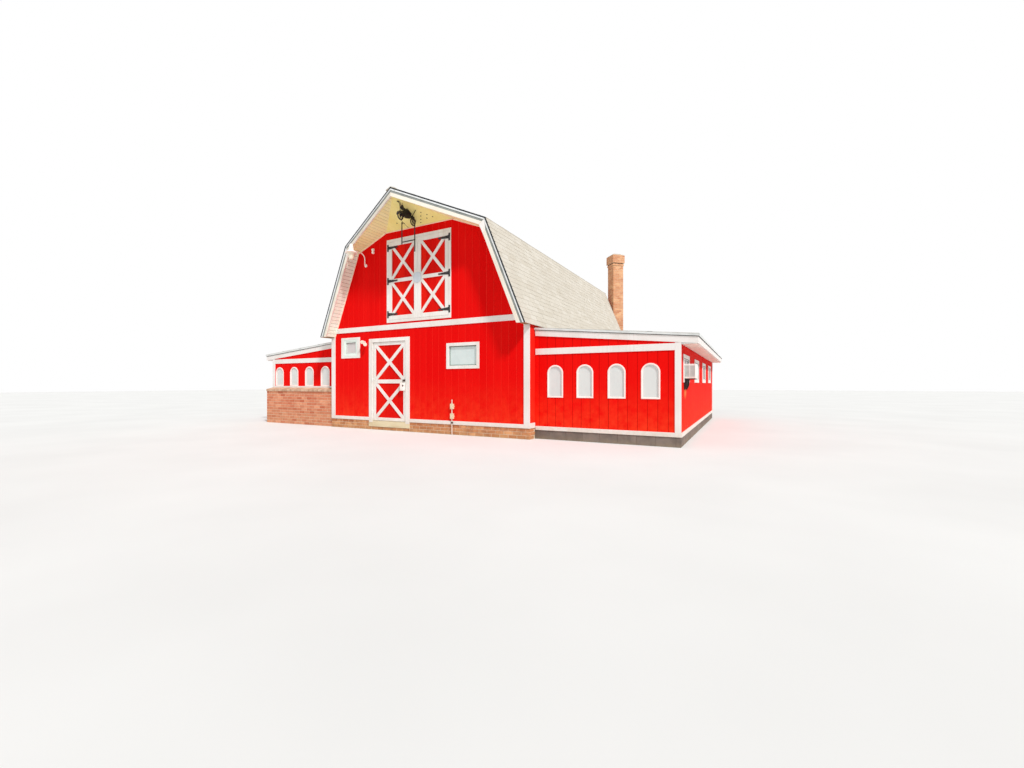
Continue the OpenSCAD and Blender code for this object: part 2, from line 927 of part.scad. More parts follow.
// One half of a hinge: a barrel, and a flap in the gap at the x given
module hinge_half(x0, z0) {
    translate([barrel_x, barrel_y, z0])
        cylinder(h = barrel_h / 2 - fit, d = barrel_d);
    box(x0, x0 + flap_t, barrel_y, leaf_mid_y, z0, z0 + barrel_h / 2 - fit);
}

module door_hinges() {
    color(white)
        for (z = hinge_heights)
            hinge_half(leaf_left - leaf_gap, z);
}

module leaf_hinges() {
    color(white)
        for (z = hinge_heights)
            hinge_half(leaf_left - flap_t, z + barrel_h / 2);
}

lock_w = 150;
lock_h = 210;
lock_t = 75;
lock_z = 1090;

module lock_box() {
    color(white)
        box(leaf_right - lock_w, leaf_right, leaf_face_y - lock_t, leaf_face_y, lock_z,
            lock_z + lock_h);
}

// Loft door

loft_gap = 4;
loft_leaf_w = (loft_open_w - 3 * loft_gap) / 2;
loft_low = loft_open_z + loft_gap;
loft_high = loft_open_z + loft_open_h - loft_gap;

module loft_casing() {
    color(white)
        union() {
            along_y(front_y - trim_t, front_y)
                difference() {
                    window_hole2(0, loft_door_z, loft_door_w, loft_door_h);
                    window_hole2(0, loft_open_z, loft_open_w, loft_open_h);
                }
            along_y(front_y - trim_t / 2, front_y + wall_t)
                difference() {
                    frame_hole2(0, loft_open_z, loft_open_w, loft_open_h);
                    window_hole2(0, loft_open_z, loft_open_w, loft_open_h);
                }
            // stop that the leaves close against
            along_y(front_y + leaf_board_t, front_y + leaf_board_t + 20)
                difference() {
                    frame_hole2(0, loft_open_z, loft_open_w, loft_open_h);
                    window_hole2(0, loft_open_z + 20, loft_open_w - 40, loft_open_h - 40);
                }
        }
}

// Boards and rails of the loft leaves: the rails' face is flush with the casing
module loft_door_boards() {
    color(red)
        both_sides()
            box(loft_gap / 2, loft_gap / 2 + loft_leaf_w, front_y, front_y + leaf_board_t,
                loft_low, loft_high);
}

module loft_door_rails() {
    color(white) {
        both_sides()
            along_y(front_y - trim_t, front_y)
                braced_leaf2(loft_gap / 2, loft_gap / 2 + loft_leaf_w, loft_low, loft_high,
                    loft_rail_w, loft_rail_w * 0.85, loft_brace_w);
        translate([0, front_y - trim_t - fit, (loft_low + loft_high) / 2])
            rotate([90, 22.5, 0])
                cylinder(h = 12, d = loft_plate_w / cos(22.5), $fn = 8);
    }
}

strap_l = 330;
strap_t = 6;
strap_root_h = 84;
strap_tip_h = 20;
strap_plate_h = 190;
strap_plate_w = 50;
strap_heights = [loft_low + 150, (loft_low + loft_high) / 2, loft_high - 150];

// Black strap hinges: an upright plate on the casing and a tapered strap on the leaf
module strap_hinges() {
    plate_x = loft_door_w / 2 - 22;
    root_x = plate_x - strap_plate_w + 2;
    color(black)
        both_sides()
            for (z = strap_heights)
                along_y(front_y - trim_t - strap_t, front_y - trim_t)
                    union() {
                        rect2(plate_x - strap_plate_w, plate_x, z - strap_plate_h / 2,
                            z + strap_plate_h / 2);
                        polygon([[root_x, z - strap_root_h / 2], [root_x, z + strap_root_h / 2],
                            [root_x - strap_l, z + strap_tip_h / 2],
                            [root_x - strap_l, z - strap_tip_h / 2]]);
                    }
}

// Windows

// Casing, lining and sash of a window, drawn from its opening; the wall runs to +Y
module window_frame(w, h, side, top, depth) {
    union() {
        along_y(-trim_t, 0)
            difference() {
                rect2(-w / 2 - side, w / 2 + side, -top, h + top);
                rect2(-w / 2, w / 2, 0, h);
            }
        along_y(-trim_t / 2, depth)
            difference() {
                frame_hole2(0, 0, w, h);
                rect2(-w / 2, w / 2, 0, h);
            }
        along_y(sash_y, sash_y + sash_t)
            difference() {
                frame_hole2(0, 0, w, h);
                rect2(-w / 2 + sash_w, w / 2 - sash_w, sash_w, h - sash_w);
            }
    }
}

sash_y = 30;
sash_t = 20;
sash_w = 26;

module window_pane(w, h) {
    box(-w / 2 + fit, w / 2 - fit, sash_y + sash_t, sash_y + sash_t + glass_t, fit, h - fit);
}

// Puts its child in each window of the wings' side walls
module at_side_windows() {
    for (side = [-1, 1])
        for (i = [0 : side_windows - 1])
            translate([side * wing_x, side_window_y(i), side_open_z])
                rotate([0, 0, side * 90])
                    children();
}

module at_rear_windows() {
    for (place = [[-rear_window_x, window_open_z], [rear_window_x, window_open_z],
            [0, rear_loft_z + window_casing]])
        translate([place[0], rear_y, place[1]])
            rotate([0, 0, 180])
                children();
}

module window_frames() {
    color(white) {
        translate([window_x, front_y, window_open_z])
            window_frame(window_open_w, window_open_h, window_casing, window_casing, wall_t);
        translate([small_x, front_y, small_z])
            window_frame(small_open_w, small_open_h, small_casing_w, small_casing_h, wall_t);
        at_side_windows()
            window_frame(side_open_w, side_open_h, window_casing, window_casing, wing_wall_t);
        at_rear_windows()
            window_frame(window_open_w, window_open_h, window_casing, window_casing, wall_t);
    }
}

module window_glass() {
    color(pane) {
        translate([window_x, front_y, window_open_z])
            window_pane(window_open_w, window_open_h);
        translate([small_x, front_y, small_z])
            window_pane(small_open_w, small_open_h);
        at_side_windows()
            window_pane(side_open_w, side_open_h);
        at_rear_windows()
            window_pane(window_open_w, window_open_h);
    }
}

rim_out = 12;

// The white rim of an arched window, with a lip behind that its pane sits on
module arch_frame(w, h) {
    along_y(-rim_out, 60)
        difference() {
            arch2(w, h, arch_rise);
            translate([0, arch_rim])
                arch2(w - 2 * arch_rim, h - 2 * arch_rim, arch_rise - arch_rim / 2);
        }
}

module arch_pane(w, h) {
    translate([0, 0, arch_rim])
        along_y(8, 8 + glass_t)
            arch2(w - 2 * arch_rim, h - 2 * arch_rim, arch_rise - arch_rim / 2);
}

module at_right_arches() {
    for (i = [0 : arches - 1])
        translate([arch_x(i), wing_y, arch_z])
            children();
}

module at_left_arches() {
    for (i = [0 : arches - 1])
        translate([-left_arch_x(i), wing_y, left_arch_z])
            children();
}

module arched_frames() {
    color(white) {
        at_right_arches()
            arch_frame(arch_w, arch_h);
        at_left_arches()
            arch_frame(left_arch_w, left_arch_h);
    }
}

module arched_panes() {
    color(pane) {
        at_right_arches()
            arch_pane(arch_w, arch_h);
        at_left_arches()
            arch_pane(left_arch_w, left_arch_h);
    }
}

// Fittings

module air_conditioner() {
    y0 = side_window_y(0) - side_open_w / 2 + 20;
    z0 = side_open_z;
    color(white)
        box(wing_x - sash_y + fit, wing_x + trim_t + cooler_out, y0, y0 + cooler_l,
            z0, z0 + cooler_h);
}

light_x = -1871;
light_z = 4600;
flood_x = -1930;
flood_z = 2410;
sensor_x = -1630;
sensor_z = 5000;

// Gooseneck barn light: wall plate, bent arm, shade with its neck, and the glass below
module barn_light() {
    bend = 150;
    rise = 315;
    translate([light_x, front_y, light_z]) {
        rotate([90, 0, 0])
            cylinder(h = 30, d = 90);
        translate([0, -45, -20])
            cylinder(h = rise - bend + 20, d = arm_d);
        rotate([90, 0, 0])
            cylinder(h = 45, d = arm_d);
        translate([0, -45 - bend, rise - bend])
            rotate([90, 0, 90])
                rotate_extrude(angle = 90, $fn = 64)
                    translate([bend, 0])
                        circle(d = arm_d, $fn = 24);
        translate([0, -45 - bend, rise])
            rotate([90, 0, 0])
                cylinder(h = arm_reach - 45 - bend - 40, d = arm_d);
        translate([0, -arm_reach, rise])
            sphere(d = 90);
        translate([0, -arm_reach, 230])
            rotate_extrude()
                polygon([[0, 0], [shade_d / 2, 0], [shade_d / 2, 12], [shade_d / 2 - 30, 36],
                    [60, 70], [38, 110], [0, 110]]);
        translate([0, -arm_reach, 90])
            rotate_extrude()
                polygon([[0, 0], [45, 8], [60, 40], [60, 141], [0, 141]]);
    }
}

// Twin floodlight: base plate and two round lamps on short stems
module flood_light() {
    translate([flood_x, front_y, flood_z]) {
        rotate([90, 0, 0])
            cylinder(h = 30, d = 110);
        for (side = [-1, 1])
            translate([side * 38, -20, 0])
                rotate([100, 0, side * -18]) {
                    cylinder(h = 60, d = 24);
                    translate([0, 0, 50])
                        cylinder(h = 95, d1 = 60, d2 = 105);
                }
    }
}

module wall_lights() {
    color(white) {
        barn_light();
        flood_light();
        translate([sensor_x, front_y, sensor_z])
            rotate([90, 0, 0]) {
                cylinder(h = 40, d = 100);
                translate([0, -20, 35])
                    cylinder(h = 50, d = 70);
            }
    }
}

conduit_x = 1100;
conduit_d = 26;
conduit_h = 844;
outlet_w = 100;
outlet_h = 130;
outlet_t = 55;
outlet_z = 399;
outlet_pitch = 244;

// Two outlet boxes on a conduit that comes up from the ground in front of the baseboard
module conduit_boxes() {
    color(timber)
        union() {
            for (z = [outlet_z, outlet_z + outlet_pitch])
                box(conduit_x - outlet_w / 2, conduit_x + outlet_w / 2, front_y - outlet_t,
                    front_y, z, z + outlet_h);
            translate([conduit_x, front_y - trim_t - conduit_d / 2 - 1, 0])
                cylinder(h = conduit_h, d = conduit_d);
        }
}

hang_y = front_y - 200;
hang_left = -367;
hang_right = 65;
bar_w = 25;
bar_t = 8;
left_bar_low = 4922;
right_bar_low = 4678;
rod_d = 10;
rung_z = 4984;
bike_x = 100;
bike_front = front_y - 768;
bike_rear = front_y - 317;
bike_z = 5400;

// Underside of the hood panel at a distance from the front wall
function hood_z(y) = panel_foot_z
    + (front_y - y) * (panel_peak_z - panel_foot_z) / (front_y - panel_peak_y);

module wheel2(y, z, r) {
    translate([y, z]) {
        difference() {
            circle(r);
            circle(r * 0.74);
        }
        circle(r * 0.25);
        for (turn = [0 : 60 : 120])
            rotate(turn)
                translate([-r * 0.9, -4])
                    square([r * 1.8, 8]);
    }
}

// A plain cut-out of a motorbike, front wheel first, drawn in Y and Z
module bike2() {
    r = ornament_wheel;
    wheel2(bike_front, bike_z, r);
    wheel2(bike_rear, bike_z - 10, r * 0.9);
    brace2([bike_front, bike_z], [bike_front - 65, bike_z + 265], 16);
    brace2([bike_front - 65, bike_z + 265], [bike_front - 85, bike_z + 300], 18);
    polygon([[bike_front - 40, bike_z + 150], [bike_front + 60, bike_z + 175],
        [bike_front + 190, bike_z + 130], [bike_front + 330, bike_z + 110],
        [bike_rear + 10, bike_z + 100], [bike_rear + 60, bike_z + 120],
        [bike_rear + 40, bike_z + 55], [bike_rear + 5, bike_z - 15],
        [bike_rear - 110, bike_z - 45], [bike_front + 120, bike_z - 50],
        [bike_front + 70, bike_z + 40]]);
}

// Cut-out and the frame below it, both hung from the hood panel
module hood_ornament() {
    color(black) {
        along_x(bike_x - ornament_t / 2, bike_x + ornament_t / 2)
            bike2();
        for (y = [bike_front + 60, bike_rear - 60])
            translate([bike_x, y, bike_z + 100])
                cylinder(h = hood_z(y + rod_d / 2) - fit - bike_z - 100, d = rod_d);
        for (bar = [[hang_left, left_bar_low], [hang_right, right_bar_low]])
            box(bar[0] - bar_w / 2, bar[0] + bar_w / 2, hang_y - bar_t / 2, hang_y + bar_t / 2,
                bar[1], hood_z(hang_y + bar_t / 2) - fit);
        box(hang_left, hang_right, hang_y - bar_t / 2, hang_y + bar_t / 2,
            rung_z - bar_w / 2, rung_z + bar_w / 2);
    }
}

// Chimney: a base against the rear wall, sloped shoulders, and a stack set cornerwise
stack_half = stack_w / sqrt(2);
stack_y = rear_y + rake_out + fascia_t + stack_gap + stack_half;
stack_cap = 45;
cap_low = stack_h - 370;
cap_high = stack_h - 40;
collar_low = cap_low - 110;
collar_high = cap_low - 35;
flue_low = stack_base_h - 400;
shoulder_h = 380;

// A square block round the stack's axis, set cornerwise
module stack_block(w, z0, z1) {
    translate([stack_x, stack_y, z0])
        rotate([0, 0, 45])
            translate([-w / 2, -w / 2, 0])
                cube([w, w, z1 - z0]);
}

module chimney() {
    back = stack_y + stack_half;
    color(brick)
        difference() {
            union() {
                intersection() {
                    along_y(rear_y, back)
                        polygon([[stack_x - stack_base_w / 2, 0], [stack_x + stack_base_w / 2, 0],
                            [stack_x + stack_base_w / 2, stack_base_h],
                            [stack_x + stack_half, stack_base_h + shoulder_h],
                            [stack_x - stack_half, stack_base_h + shoulder_h],
                            [stack_x - stack_base_w / 2, stack_base_h]]);
                    along_x(stack_x - stack_base_w, stack_x + stack_base_w)
                        polygon([[rear_y, 0], [back, 0], [back, stack_base_h + shoulder_h],
                            [stack_y - stack_half, stack_base_h + shoulder_h],
                            [rear_y, stack_base_h]]);
                }
                stack_block(stack_w, 0, stack_h);
                stack_block(stack_w + 2 * stack_cap, cap_low, cap_high);
                stack_block(stack_w + stack_cap, collar_low, collar_high);
            }
            stack_block(stack_w - 2 * flue_wall, flue_low, stack_h + 1);
        }
}

main_foundation();
wing_foundations();
main_floor();
wing_floors();
loft_floor();
front_wall_left();
front_wall_right();
front_wall_over_door();
front_gable();
rear_wall();
rear_gable();
main_side_walls();
right_wing_front_wall();
left_wing_front_wall();
wing_side_walls();
wing_rear_walls();
brick_wainscot();
wainscot_sill();
roof_right_upper();
roof_left_upper();
roof_right_lower();
roof_left_lower();
wing_roofs();
fascia_boards();
hood_panel();
corner_boards();
belt_boards();
base_boards();
door_casing();
door_sill();
door_boards();
door_rails();
door_hinges();
leaf_hinges();
lock_box();
loft_casing();
loft_door_boards();
loft_door_rails();
strap_hinges();
window_frames();
window_glass();
arched_frames();
arched_panes();
air_conditioner();
wall_lights();
conduit_boxes();
hood_ornament();
chimney();
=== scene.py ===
import bpy
import bmesh
import math
import numpy as np
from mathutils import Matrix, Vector


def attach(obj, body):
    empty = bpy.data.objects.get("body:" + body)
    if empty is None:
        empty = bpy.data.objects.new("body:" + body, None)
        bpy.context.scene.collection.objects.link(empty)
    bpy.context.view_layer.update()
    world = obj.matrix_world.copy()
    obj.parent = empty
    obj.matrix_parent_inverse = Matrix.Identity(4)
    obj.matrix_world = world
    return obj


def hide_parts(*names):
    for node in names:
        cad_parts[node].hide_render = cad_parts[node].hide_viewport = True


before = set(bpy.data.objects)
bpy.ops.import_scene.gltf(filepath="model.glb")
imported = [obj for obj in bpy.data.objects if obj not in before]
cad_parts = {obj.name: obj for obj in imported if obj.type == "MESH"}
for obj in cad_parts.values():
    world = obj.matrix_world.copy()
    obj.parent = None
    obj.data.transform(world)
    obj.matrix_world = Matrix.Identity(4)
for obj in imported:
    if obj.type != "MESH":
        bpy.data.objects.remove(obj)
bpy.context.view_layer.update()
print("frame loaded,", len(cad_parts), "nodes")

# the barn's own lines, in metres: X along the front, Y to the rear, Z up
barn = {
    "wallX": 3.255, "frontY": -4.5, "rearY": 4.5, "ridgeZ": 6.03, "kneeX": 2.29, "kneeZ": 5.114,
    "eaveX": 3.313, "eaveZ": 2.629, "roofDeep": 0.158, "rakeOut": 0.325, "hoodOut": 0.975,
    "innerRidgeZ": 5.8598, "innerKneeX": 2.1693, "innerKneeZ": 4.9921, "upSlope": 0.4, "lowSlope": 2.4291,
    "wingX": 6.454, "wingY": -4.235, "wingRoofZ": 2.574, "wingFall": 0.091, "soffitZ": 2.063,
}
bothSides = (("right", 1), ("left", -1))
rng = np.random.default_rng(7)
camera = {"place": (7.607, -13.496, 1.267), "turn": 28.132, "lens": 15.45}


def addObject(name, data):
    obj = bpy.data.objects.new(name, data)
    bpy.context.collection.objects.link(obj)
    return obj


def makeCamera():
    data = bpy.data.cameras.new("camera")
    data.lens = camera["lens"]
    data.sensor_width = 36
    data.clip_end = 200
    cam = addObject("camera", data)
    cam.location = camera["place"]
    cam.rotation_euler = (math.radians(90), 0, math.radians(camera["turn"]))
    bpy.context.scene.camera = cam
    print("camera placed")


makeCamera()


def columns(*values):
    # arrays and single numbers side by side, one row for each point
    return np.stack(np.broadcast_arrays(*values), -1)


def axes(origin, u, v):
    # a local frame: u along, v up, w outward as their cross product
    u, v = np.array(u, float), np.array(v, float)
    u /= np.linalg.norm(u)
    v /= np.linalg.norm(v)
    return np.array(origin, float), np.stack([u, v, np.cross(u, v)])


def place(local, where):
    # local points in the barn's frame: the origin, and each coordinate along its axis
    origin, rows = where
    return origin + np.asarray(local, float) @ rows


def facing(side, at):
    # wall frames: front looks to -Y, rear to +Y, right to +X, left to -X
    origin, u = {"front": ((0, at, 0), (1, 0, 0)), "rear": ((0, at, 0), (-1, 0, 0)),
                 "right": ((at, 0, 0), (0, 1, 0)), "left": ((at, 0, 0), (0, -1, 0))}[side]
    return axes(origin, u, (0, 0, 1))


frontWall = facing("front", barn["frontY"])


def part(points, *faces, tone=0.5):
    # faces are arrays with one width each; tone is one number or one for each face
    faces = [np.asarray(f, int).reshape(-1, np.asarray(f).shape[-1]) for f in faces]
    count = sum(len(f) for f in faces)
    return np.asarray(points, float).reshape(-1, 3), faces, np.broadcast_to(tone, (count,)).astype(float)


def finishObject(obj, material, body, replaces, bevel):
    # its finish, eased edges, and what the frame has to know of it
    obj.data.materials.append(materials[material])
    if bevel:
        mod = obj.modifiers.new("edges", "BEVEL")
        mod.width, mod.segments = bevel, 2
        mod.limit_method, mod.angle_limit = "ANGLE", math.radians(30)
    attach(obj, body)
    if replaces:
        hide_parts(replaces)
    print("piece", obj.name, len(obj.data.polygons), "faces")


def makePiece(name, parts, material, body="barn", replaces=None, smooth=None, bevel=None):
    # many parts in one mesh, their tones as a face attribute; smooth is the sharpest rounded angle
    points = np.concatenate([p[0] for p in parts])
    starts = np.cumsum([0] + [len(p[0]) for p in parts])
    faces = [f + start for p, start in zip(parts, starts) for f in p[1]]
    loops = np.concatenate([f.ravel() for f in faces]).astype(np.int32)
    sizes = np.concatenate([np.full(len(f), f.shape[1]) for f in faces])
    mesh = bpy.data.meshes.new(name)
    mesh.vertices.add(len(points))
    mesh.vertices.foreach_set("co", points.astype(np.float32).ravel())
    mesh.loops.add(len(loops))
    mesh.loops.foreach_set("vertex_index", loops)
    mesh.polygons.add(len(sizes))
    mesh.polygons.foreach_set("loop_start", (np.cumsum(sizes) - sizes).astype(np.int32))
    mesh.update(calc_edges=True)
    mesh.validate()
    tones = np.concatenate([p[2] for p in parts]).astype(np.float32)
    mesh.attributes.new("tone", "FLOAT", "FACE").data.foreach_set("value", tones)
    mesh.polygons.foreach_set("use_smooth", np.full(len(sizes), bool(smooth)))
    if smooth:
        mesh.set_sharp_from_angle(angle=math.radians(smooth))
    finishObject(addObject(name, mesh), material, body, replaces, bevel)


def easedCopy(name, node, material, bevel, body="barn"):
    # a copy of a CAD node with its doubles merged, flat faces joined and its edges eased
    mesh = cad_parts[node].data.copy()
    mesh.name = name
    work = bmesh.new()
    work.from_mesh(mesh)
    bmesh.ops.remove_doubles(work, verts=work.verts, dist=1e-5)
    bmesh.ops.dissolve_limit(work, angle_limit=math.radians(1), verts=work.verts, edges=work.edges)
    work.to_mesh(mesh)
    work.free()
    mesh.materials.clear()
    finishObject(addObject(name, mesh), material, body, node, bevel)


def repeated(solids, faces, tone):
    # the same faces for each of many solids with equal numbers of corners, one tone for each solid
    n, k = solids.shape[:2]
    faces = np.asarray(faces)[None] + k * np.arange(n)[:, None, None]
    return part(solids, faces.reshape(-1, 4), tone=np.repeat(np.broadcast_to(tone, (n,)), faces.shape[1]))


boxFaces = [[3, 2, 1, 0], [0, 1, 5, 4], [1, 2, 6, 5], [2, 3, 7, 6], [3, 0, 4, 7], [4, 5, 6, 7]]
boxCorners = np.array([(x, y, z) for z in (0, 1) for x, y in ((0, 0), (1, 0), (1, 1), (0, 1))])
mirrored = [3, 2, 1, 0, 7, 6, 5, 4]      # a box's corners read the other way round


def hexas(corners, tone=0.5):
    # solids of eight corners: a ring of four seen from behind, then the same ring in front
    return repeated(np.asarray(corners, float).reshape(-1, 8, 3), boxFaces, tone)


def blocks(low, high, where, tone=0.5):
    # boxes from their lowest and highest corners in a local frame
    low, high = (np.asarray(x, float).reshape(-1, 1, 3) for x in (low, high))
    return hexas(place(low + (high - low) * boxCorners, where), tone)


def gridQuads(rings, steps, closed=False):
    # quads between neighbouring rings of points; when closed, the last ring joins the first
    i, j = np.meshgrid(np.arange(rings if closed else rings - 1), np.arange(steps), indexing="ij")
    i2, j2 = (i + 1) % rings, (j + 1) % steps
    return np.stack([i * steps + j, i * steps + j2, i2 * steps + j2, i2 * steps + j], -1).reshape(-1, 4)


def cutBlocks(low, high, where, rim, tone):
    # boxes whose outer face has a bevelled rim: back ring, front ring, and an inset face
    low, high = (np.asarray(x, float).reshape(-1, 1, 3) for x in (low, high))
    inward = np.array([[1, 1], [-1, 1], [-1, -1], [1, -1]])
    flat = low[..., :2] + (high - low)[..., :2] * boxCorners[:4, :2]
    rings = [(flat, low[..., 2]), (flat, high[..., 2] - rim), (flat + inward * rim, high[..., 2])]
    local = np.concatenate([columns(line[..., 0], line[..., 1], w) for line, w in rings], 1)
    return repeated(place(local, where), [[3, 2, 1, 0], *gridQuads(3, 4), [8, 9, 10, 11]], tone)


def prism(outline, w0, w1, where, tone=0.5):
    # an outline drawn against the clock in u and v, carried from depth w0 to w1
    n = len(outline)
    local = np.concatenate([columns(*np.transpose(outline), w) for w in (w0, w1)])
    return part(place(local, where), gridQuads(2, n), [n + np.arange(n)], [np.arange(n)[::-1]], tone=tone)


def band(outer, inner, profile, where):
    # a closed moulding: profile points (share of the way inwards, depth) carried round two outlines
    outer, inner, profile = (np.asarray(x, float) for x in (outer, inner, profile))
    flat = outer[:, None] + (inner - outer)[:, None] * profile[None, :, :1]
    local = columns(flat[..., 0], flat[..., 1], profile[:, 1])
    quads = gridQuads(len(outer), len(profile), closed=True)[:, [0, 3, 2, 1]]
    return part(place(local.reshape(-1, 3), where), quads)


def moulding(w0, w1, ease):
    # the section of a flat board with eased edges, for band
    return [(0, w0), (0, w1 - 0.004), (ease, w1), (1 - ease, w1), (1, w1 - 0.004), (1, w0)]


def grown(x0, x1, z0, z1, by):
    # a rectangle's four limits moved outwards
    return x0 - by, x1 + by, z0 - by, z1 + by


def rect(x0, x1, z0, z1):
    # its four corners, against the clock
    return np.array([(x0, z0), (x1, z0), (x1, z1), (x0, z1)], float)


def archArc(w, rise, inset):
    # radius and half width of the circle's arc over an arch, drawn in by an inset
    return (w * w / 4 + rise * rise) / (2 * rise) - inset, w / 2 - inset


def archLine(x, w, z0, h, rise, inset, steps=28):
    # a rectangle under the arc of a circle through its upper corners
    r, half = archArc(w, rise, inset)
    turn = np.linspace(1, -1, steps) * math.asin(min(half / r, 1.0))
    arc = columns(x + r * np.sin(turn), z0 + h - inset - r + r * np.cos(turn))
    return np.concatenate([[(x - half, z0 + inset), (x + half, z0 + inset)], arc])


def circleLine(x, z, r, steps, turn=0.0):
    # points at equal angles round a centre
    a = turn + np.arange(steps) * 2 * math.pi / steps
    return columns(x + r * np.cos(a), z + r * np.sin(a))


def clip(outline, normal, offset):
    # keeps the part of an outline whose distance along a normal is at most the offset
    away = outline @ np.asarray(normal, float) - offset
    kept = []
    for p, q, a, b in zip(outline, np.roll(outline, -1, 0), away, np.roll(away, -1)):
        if a <= 0:
            kept.append(p)
        if a * b < 0:
            kept.append(p + (q - p) * a / (a - b))
    return np.array(kept)


def crossBraces(x0, x1, z0, z1, width):
    # two diagonals of a panel: the first runs through, the second is cut round it
    def diagonal(a, b):
        a, b = np.array(a), np.array(b)
        d = (b - a) / np.linalg.norm(b - a)
        s = np.array([-d[1], d[0]]) * width / 2
        line = np.array([a - d * width - s, b + d * width - s, b + d * width + s, a - d * width + s])
        for normal, offset in (((-1, 0), -x0), ((1, 0), x1), ((0, -1), -z0), ((0, 1), z1)):
            line = clip(line, normal, offset)
        return line, 2 * s / width

    first, across = diagonal((x0, z0), (x1, z1))
    second = diagonal((x0, z1), (x1, z0))[0]
    middle = across @ np.array([(x0 + x1) / 2, (z0 + z1) / 2])
    return [first, clip(second, across, middle - width / 2), clip(second, -across, -middle - width / 2)]


def leafBoards(x0, x1, z0, z1, w0, w1, n, where):
    # upright boards side by side, 3 mm apart, each with a bevelled rim
    edges = np.linspace(x0, x1, n + 1)
    return cutBlocks(columns(edges[:-1] + 0.0015, z0, w0), columns(edges[1:] - 0.0015, z1, w1), where, 0.003,
                     rng.uniform(0.1, 0.9, n))


def bracedLeaf(x0, x1, z0, z1, leaf, w0, w1, where):
    # stiles, three rails between them, and a cross in each panel, a shade thinner
    rail, half, zm = leaf["rail"], leaf["mid"] / 2, (z0 + z1) / 2
    a, b, thin = x0 + rail, x1 - rail, w1 - 0.0004
    boards = [((x0, z0, w0), (a, z1, w1)), ((b, z0, w0), (x1, z1, w1)), ((a, z0, w0), (b, z0 + rail, thin)),
              ((a, zm - half, w0), (b, zm + half, thin)), ((a, z1 - rail, w0), (b, z1, thin))]
    parts = [blocks(low, high, where, rng.uniform(0.2, 0.8)) for low, high in boards]
    for low, high in ((z0 + rail, zm - half), (zm + half, z1 - rail)):
        parts += [prism(line, w0, w1 - 0.001, where, rng.uniform(0.2, 0.8))
                  for line in crossBraces(a, b, low, high, leaf["brace"])]
    return parts


def ringBoards(outer, inner, w0, w1, where):
    # four boards round an opening: uprights run through, level ones fit between
    (x0, x1, z0, z1), (a, b, c, d) = outer, inner
    boards = [((x0, z0, w0), (a, z1, w1)), ((b, z0, w0), (x1, z1, w1)), ((a, z0, w0), (b, c, w1)),
              ((a, d, w0), (b, z1, w1))]
    return [blocks(low, high, where, rng.uniform(0.2, 0.8)) for low, high in boards
            if all(h - l > 1e-6 for l, h in zip(low, high))]


def strip(u, thick, low, high, where, tone, paintedShine):
    # a closed board: points u across it with a depth each, from low(u) to high(u)
    k = len(u)
    local = np.concatenate([columns(u, v, w) for w in (thick, 0.0) for v in (low, high)])
    i = np.arange(k - 1)
    fl, fh, bl, bh = i, k + i, 2 * k + i, 3 * k + i
    faces = np.concatenate([
        columns(fl, fl + 1, fh + 1, fh), columns(bl + 1, bl, bh, bh + 1), columns(fh, fh + 1, bh + 1, bh),
        columns(fl + 1, fl, bl, bl + 1), [[0, k, 3 * k, 2 * k]], [[2 * k - 1, k - 1, 3 * k - 1, 4 * k - 1]]])
    tones = np.full(len(faces), tone)
    # painted highlight: the chamfer faces get a lighter tone
    tones[:k - 1][np.abs(np.diff(thick)) > 1e-6] += paintedShine      # chamfers catch a little more light
    return part(place(local, where), faces, tone=np.clip(tones, 0, 1))


def boardWall(where, span, low, high, holes=(), *, pitch, gap, thick, phase=0.0, edge=0.003, kinks=(),
              spread=0.22, paintedShine=0.0):
    # upright boards from low(u) to high(u), cut round holes of (u0, u1, low(u), high(u))
    parts = []
    for n in range(math.floor((span[0] - phase) / pitch), math.ceil((span[1] - phase) / pitch) + 1):
        a = max(phase + n * pitch + gap / 2, span[0])
        b = min(phase + (n + 1) * pitch - gap / 2, span[1])
        if b - a < 0.012:
            continue
        tone = float(np.clip(0.5 + rng.normal(0, spread), 0, 1))
        cuts = sorted({a, b, *[x for x in [*kinks, *[e for h in holes for e in h[:2]]] if a < x < b]})
        for c, d in zip(cuts[:-1], cuts[1:]):
            mid = (c + d) / 2
            inside = sorted([h for h in holes if h[0] < mid < h[1]], key=lambda h: h[2](np.array([mid]))[0])
            u = [c, d] + [a + edge] * (c == a) + [b - edge] * (d == b)
            u = np.concatenate([u, np.linspace(c, d, 7)]) if inside else u
            u = np.unique(np.round(np.clip(u, c, d), 5))
            depth = np.where((u <= a + 1e-5) | (u >= b - 1e-5), thick - edge, thick)
            # the board's runs between the wall's foot, the holes and its top
            starts = [low(u), *[h[3](u) for h in inside]]
            stops = [*[h[2](u) for h in inside], high(u)]
            parts += [strip(u, depth, v0, np.maximum(v1, v0 + 0.001), where, tone, paintedShine)
                      for v0, v1 in zip(starts, stops) if np.mean(v1 - v0) > 0.004]
    return parts


def level(z):
    # the same height at every u
    return lambda u: np.full(len(u), float(z))


def hole(x, w, z0, z1):
    # a rectangle's limits from its middle and width
    return (x - w / 2, x + w / 2, level(z0), level(z1))


def archHole(x, w, z0, h, rise, rim):
    # a rectangle whose top is the arc of a circle through its upper corners
    r, half = archArc(w, rise, rim)
    top = z0 + h - rim
    return (x - half, x + half, level(z0 + rim),
            lambda u: top - r + np.sqrt(np.maximum(r * r - np.minimum(abs(u - x), half) ** 2, 0)))


def closedRings(pts, ends):
    # rings of points joined in order, with a fan to a point at each end
    k, steps = pts.shape[:2]
    n, last, j = k * steps, (k - 1) * steps, np.arange(steps)
    fans = np.concatenate([columns(n, (j + 1) % steps, j), columns(n + 1, last + j, last + (j + 1) % steps)])
    return part(np.concatenate([pts.reshape(-1, 3), ends]), gridQuads(k, steps), fans)


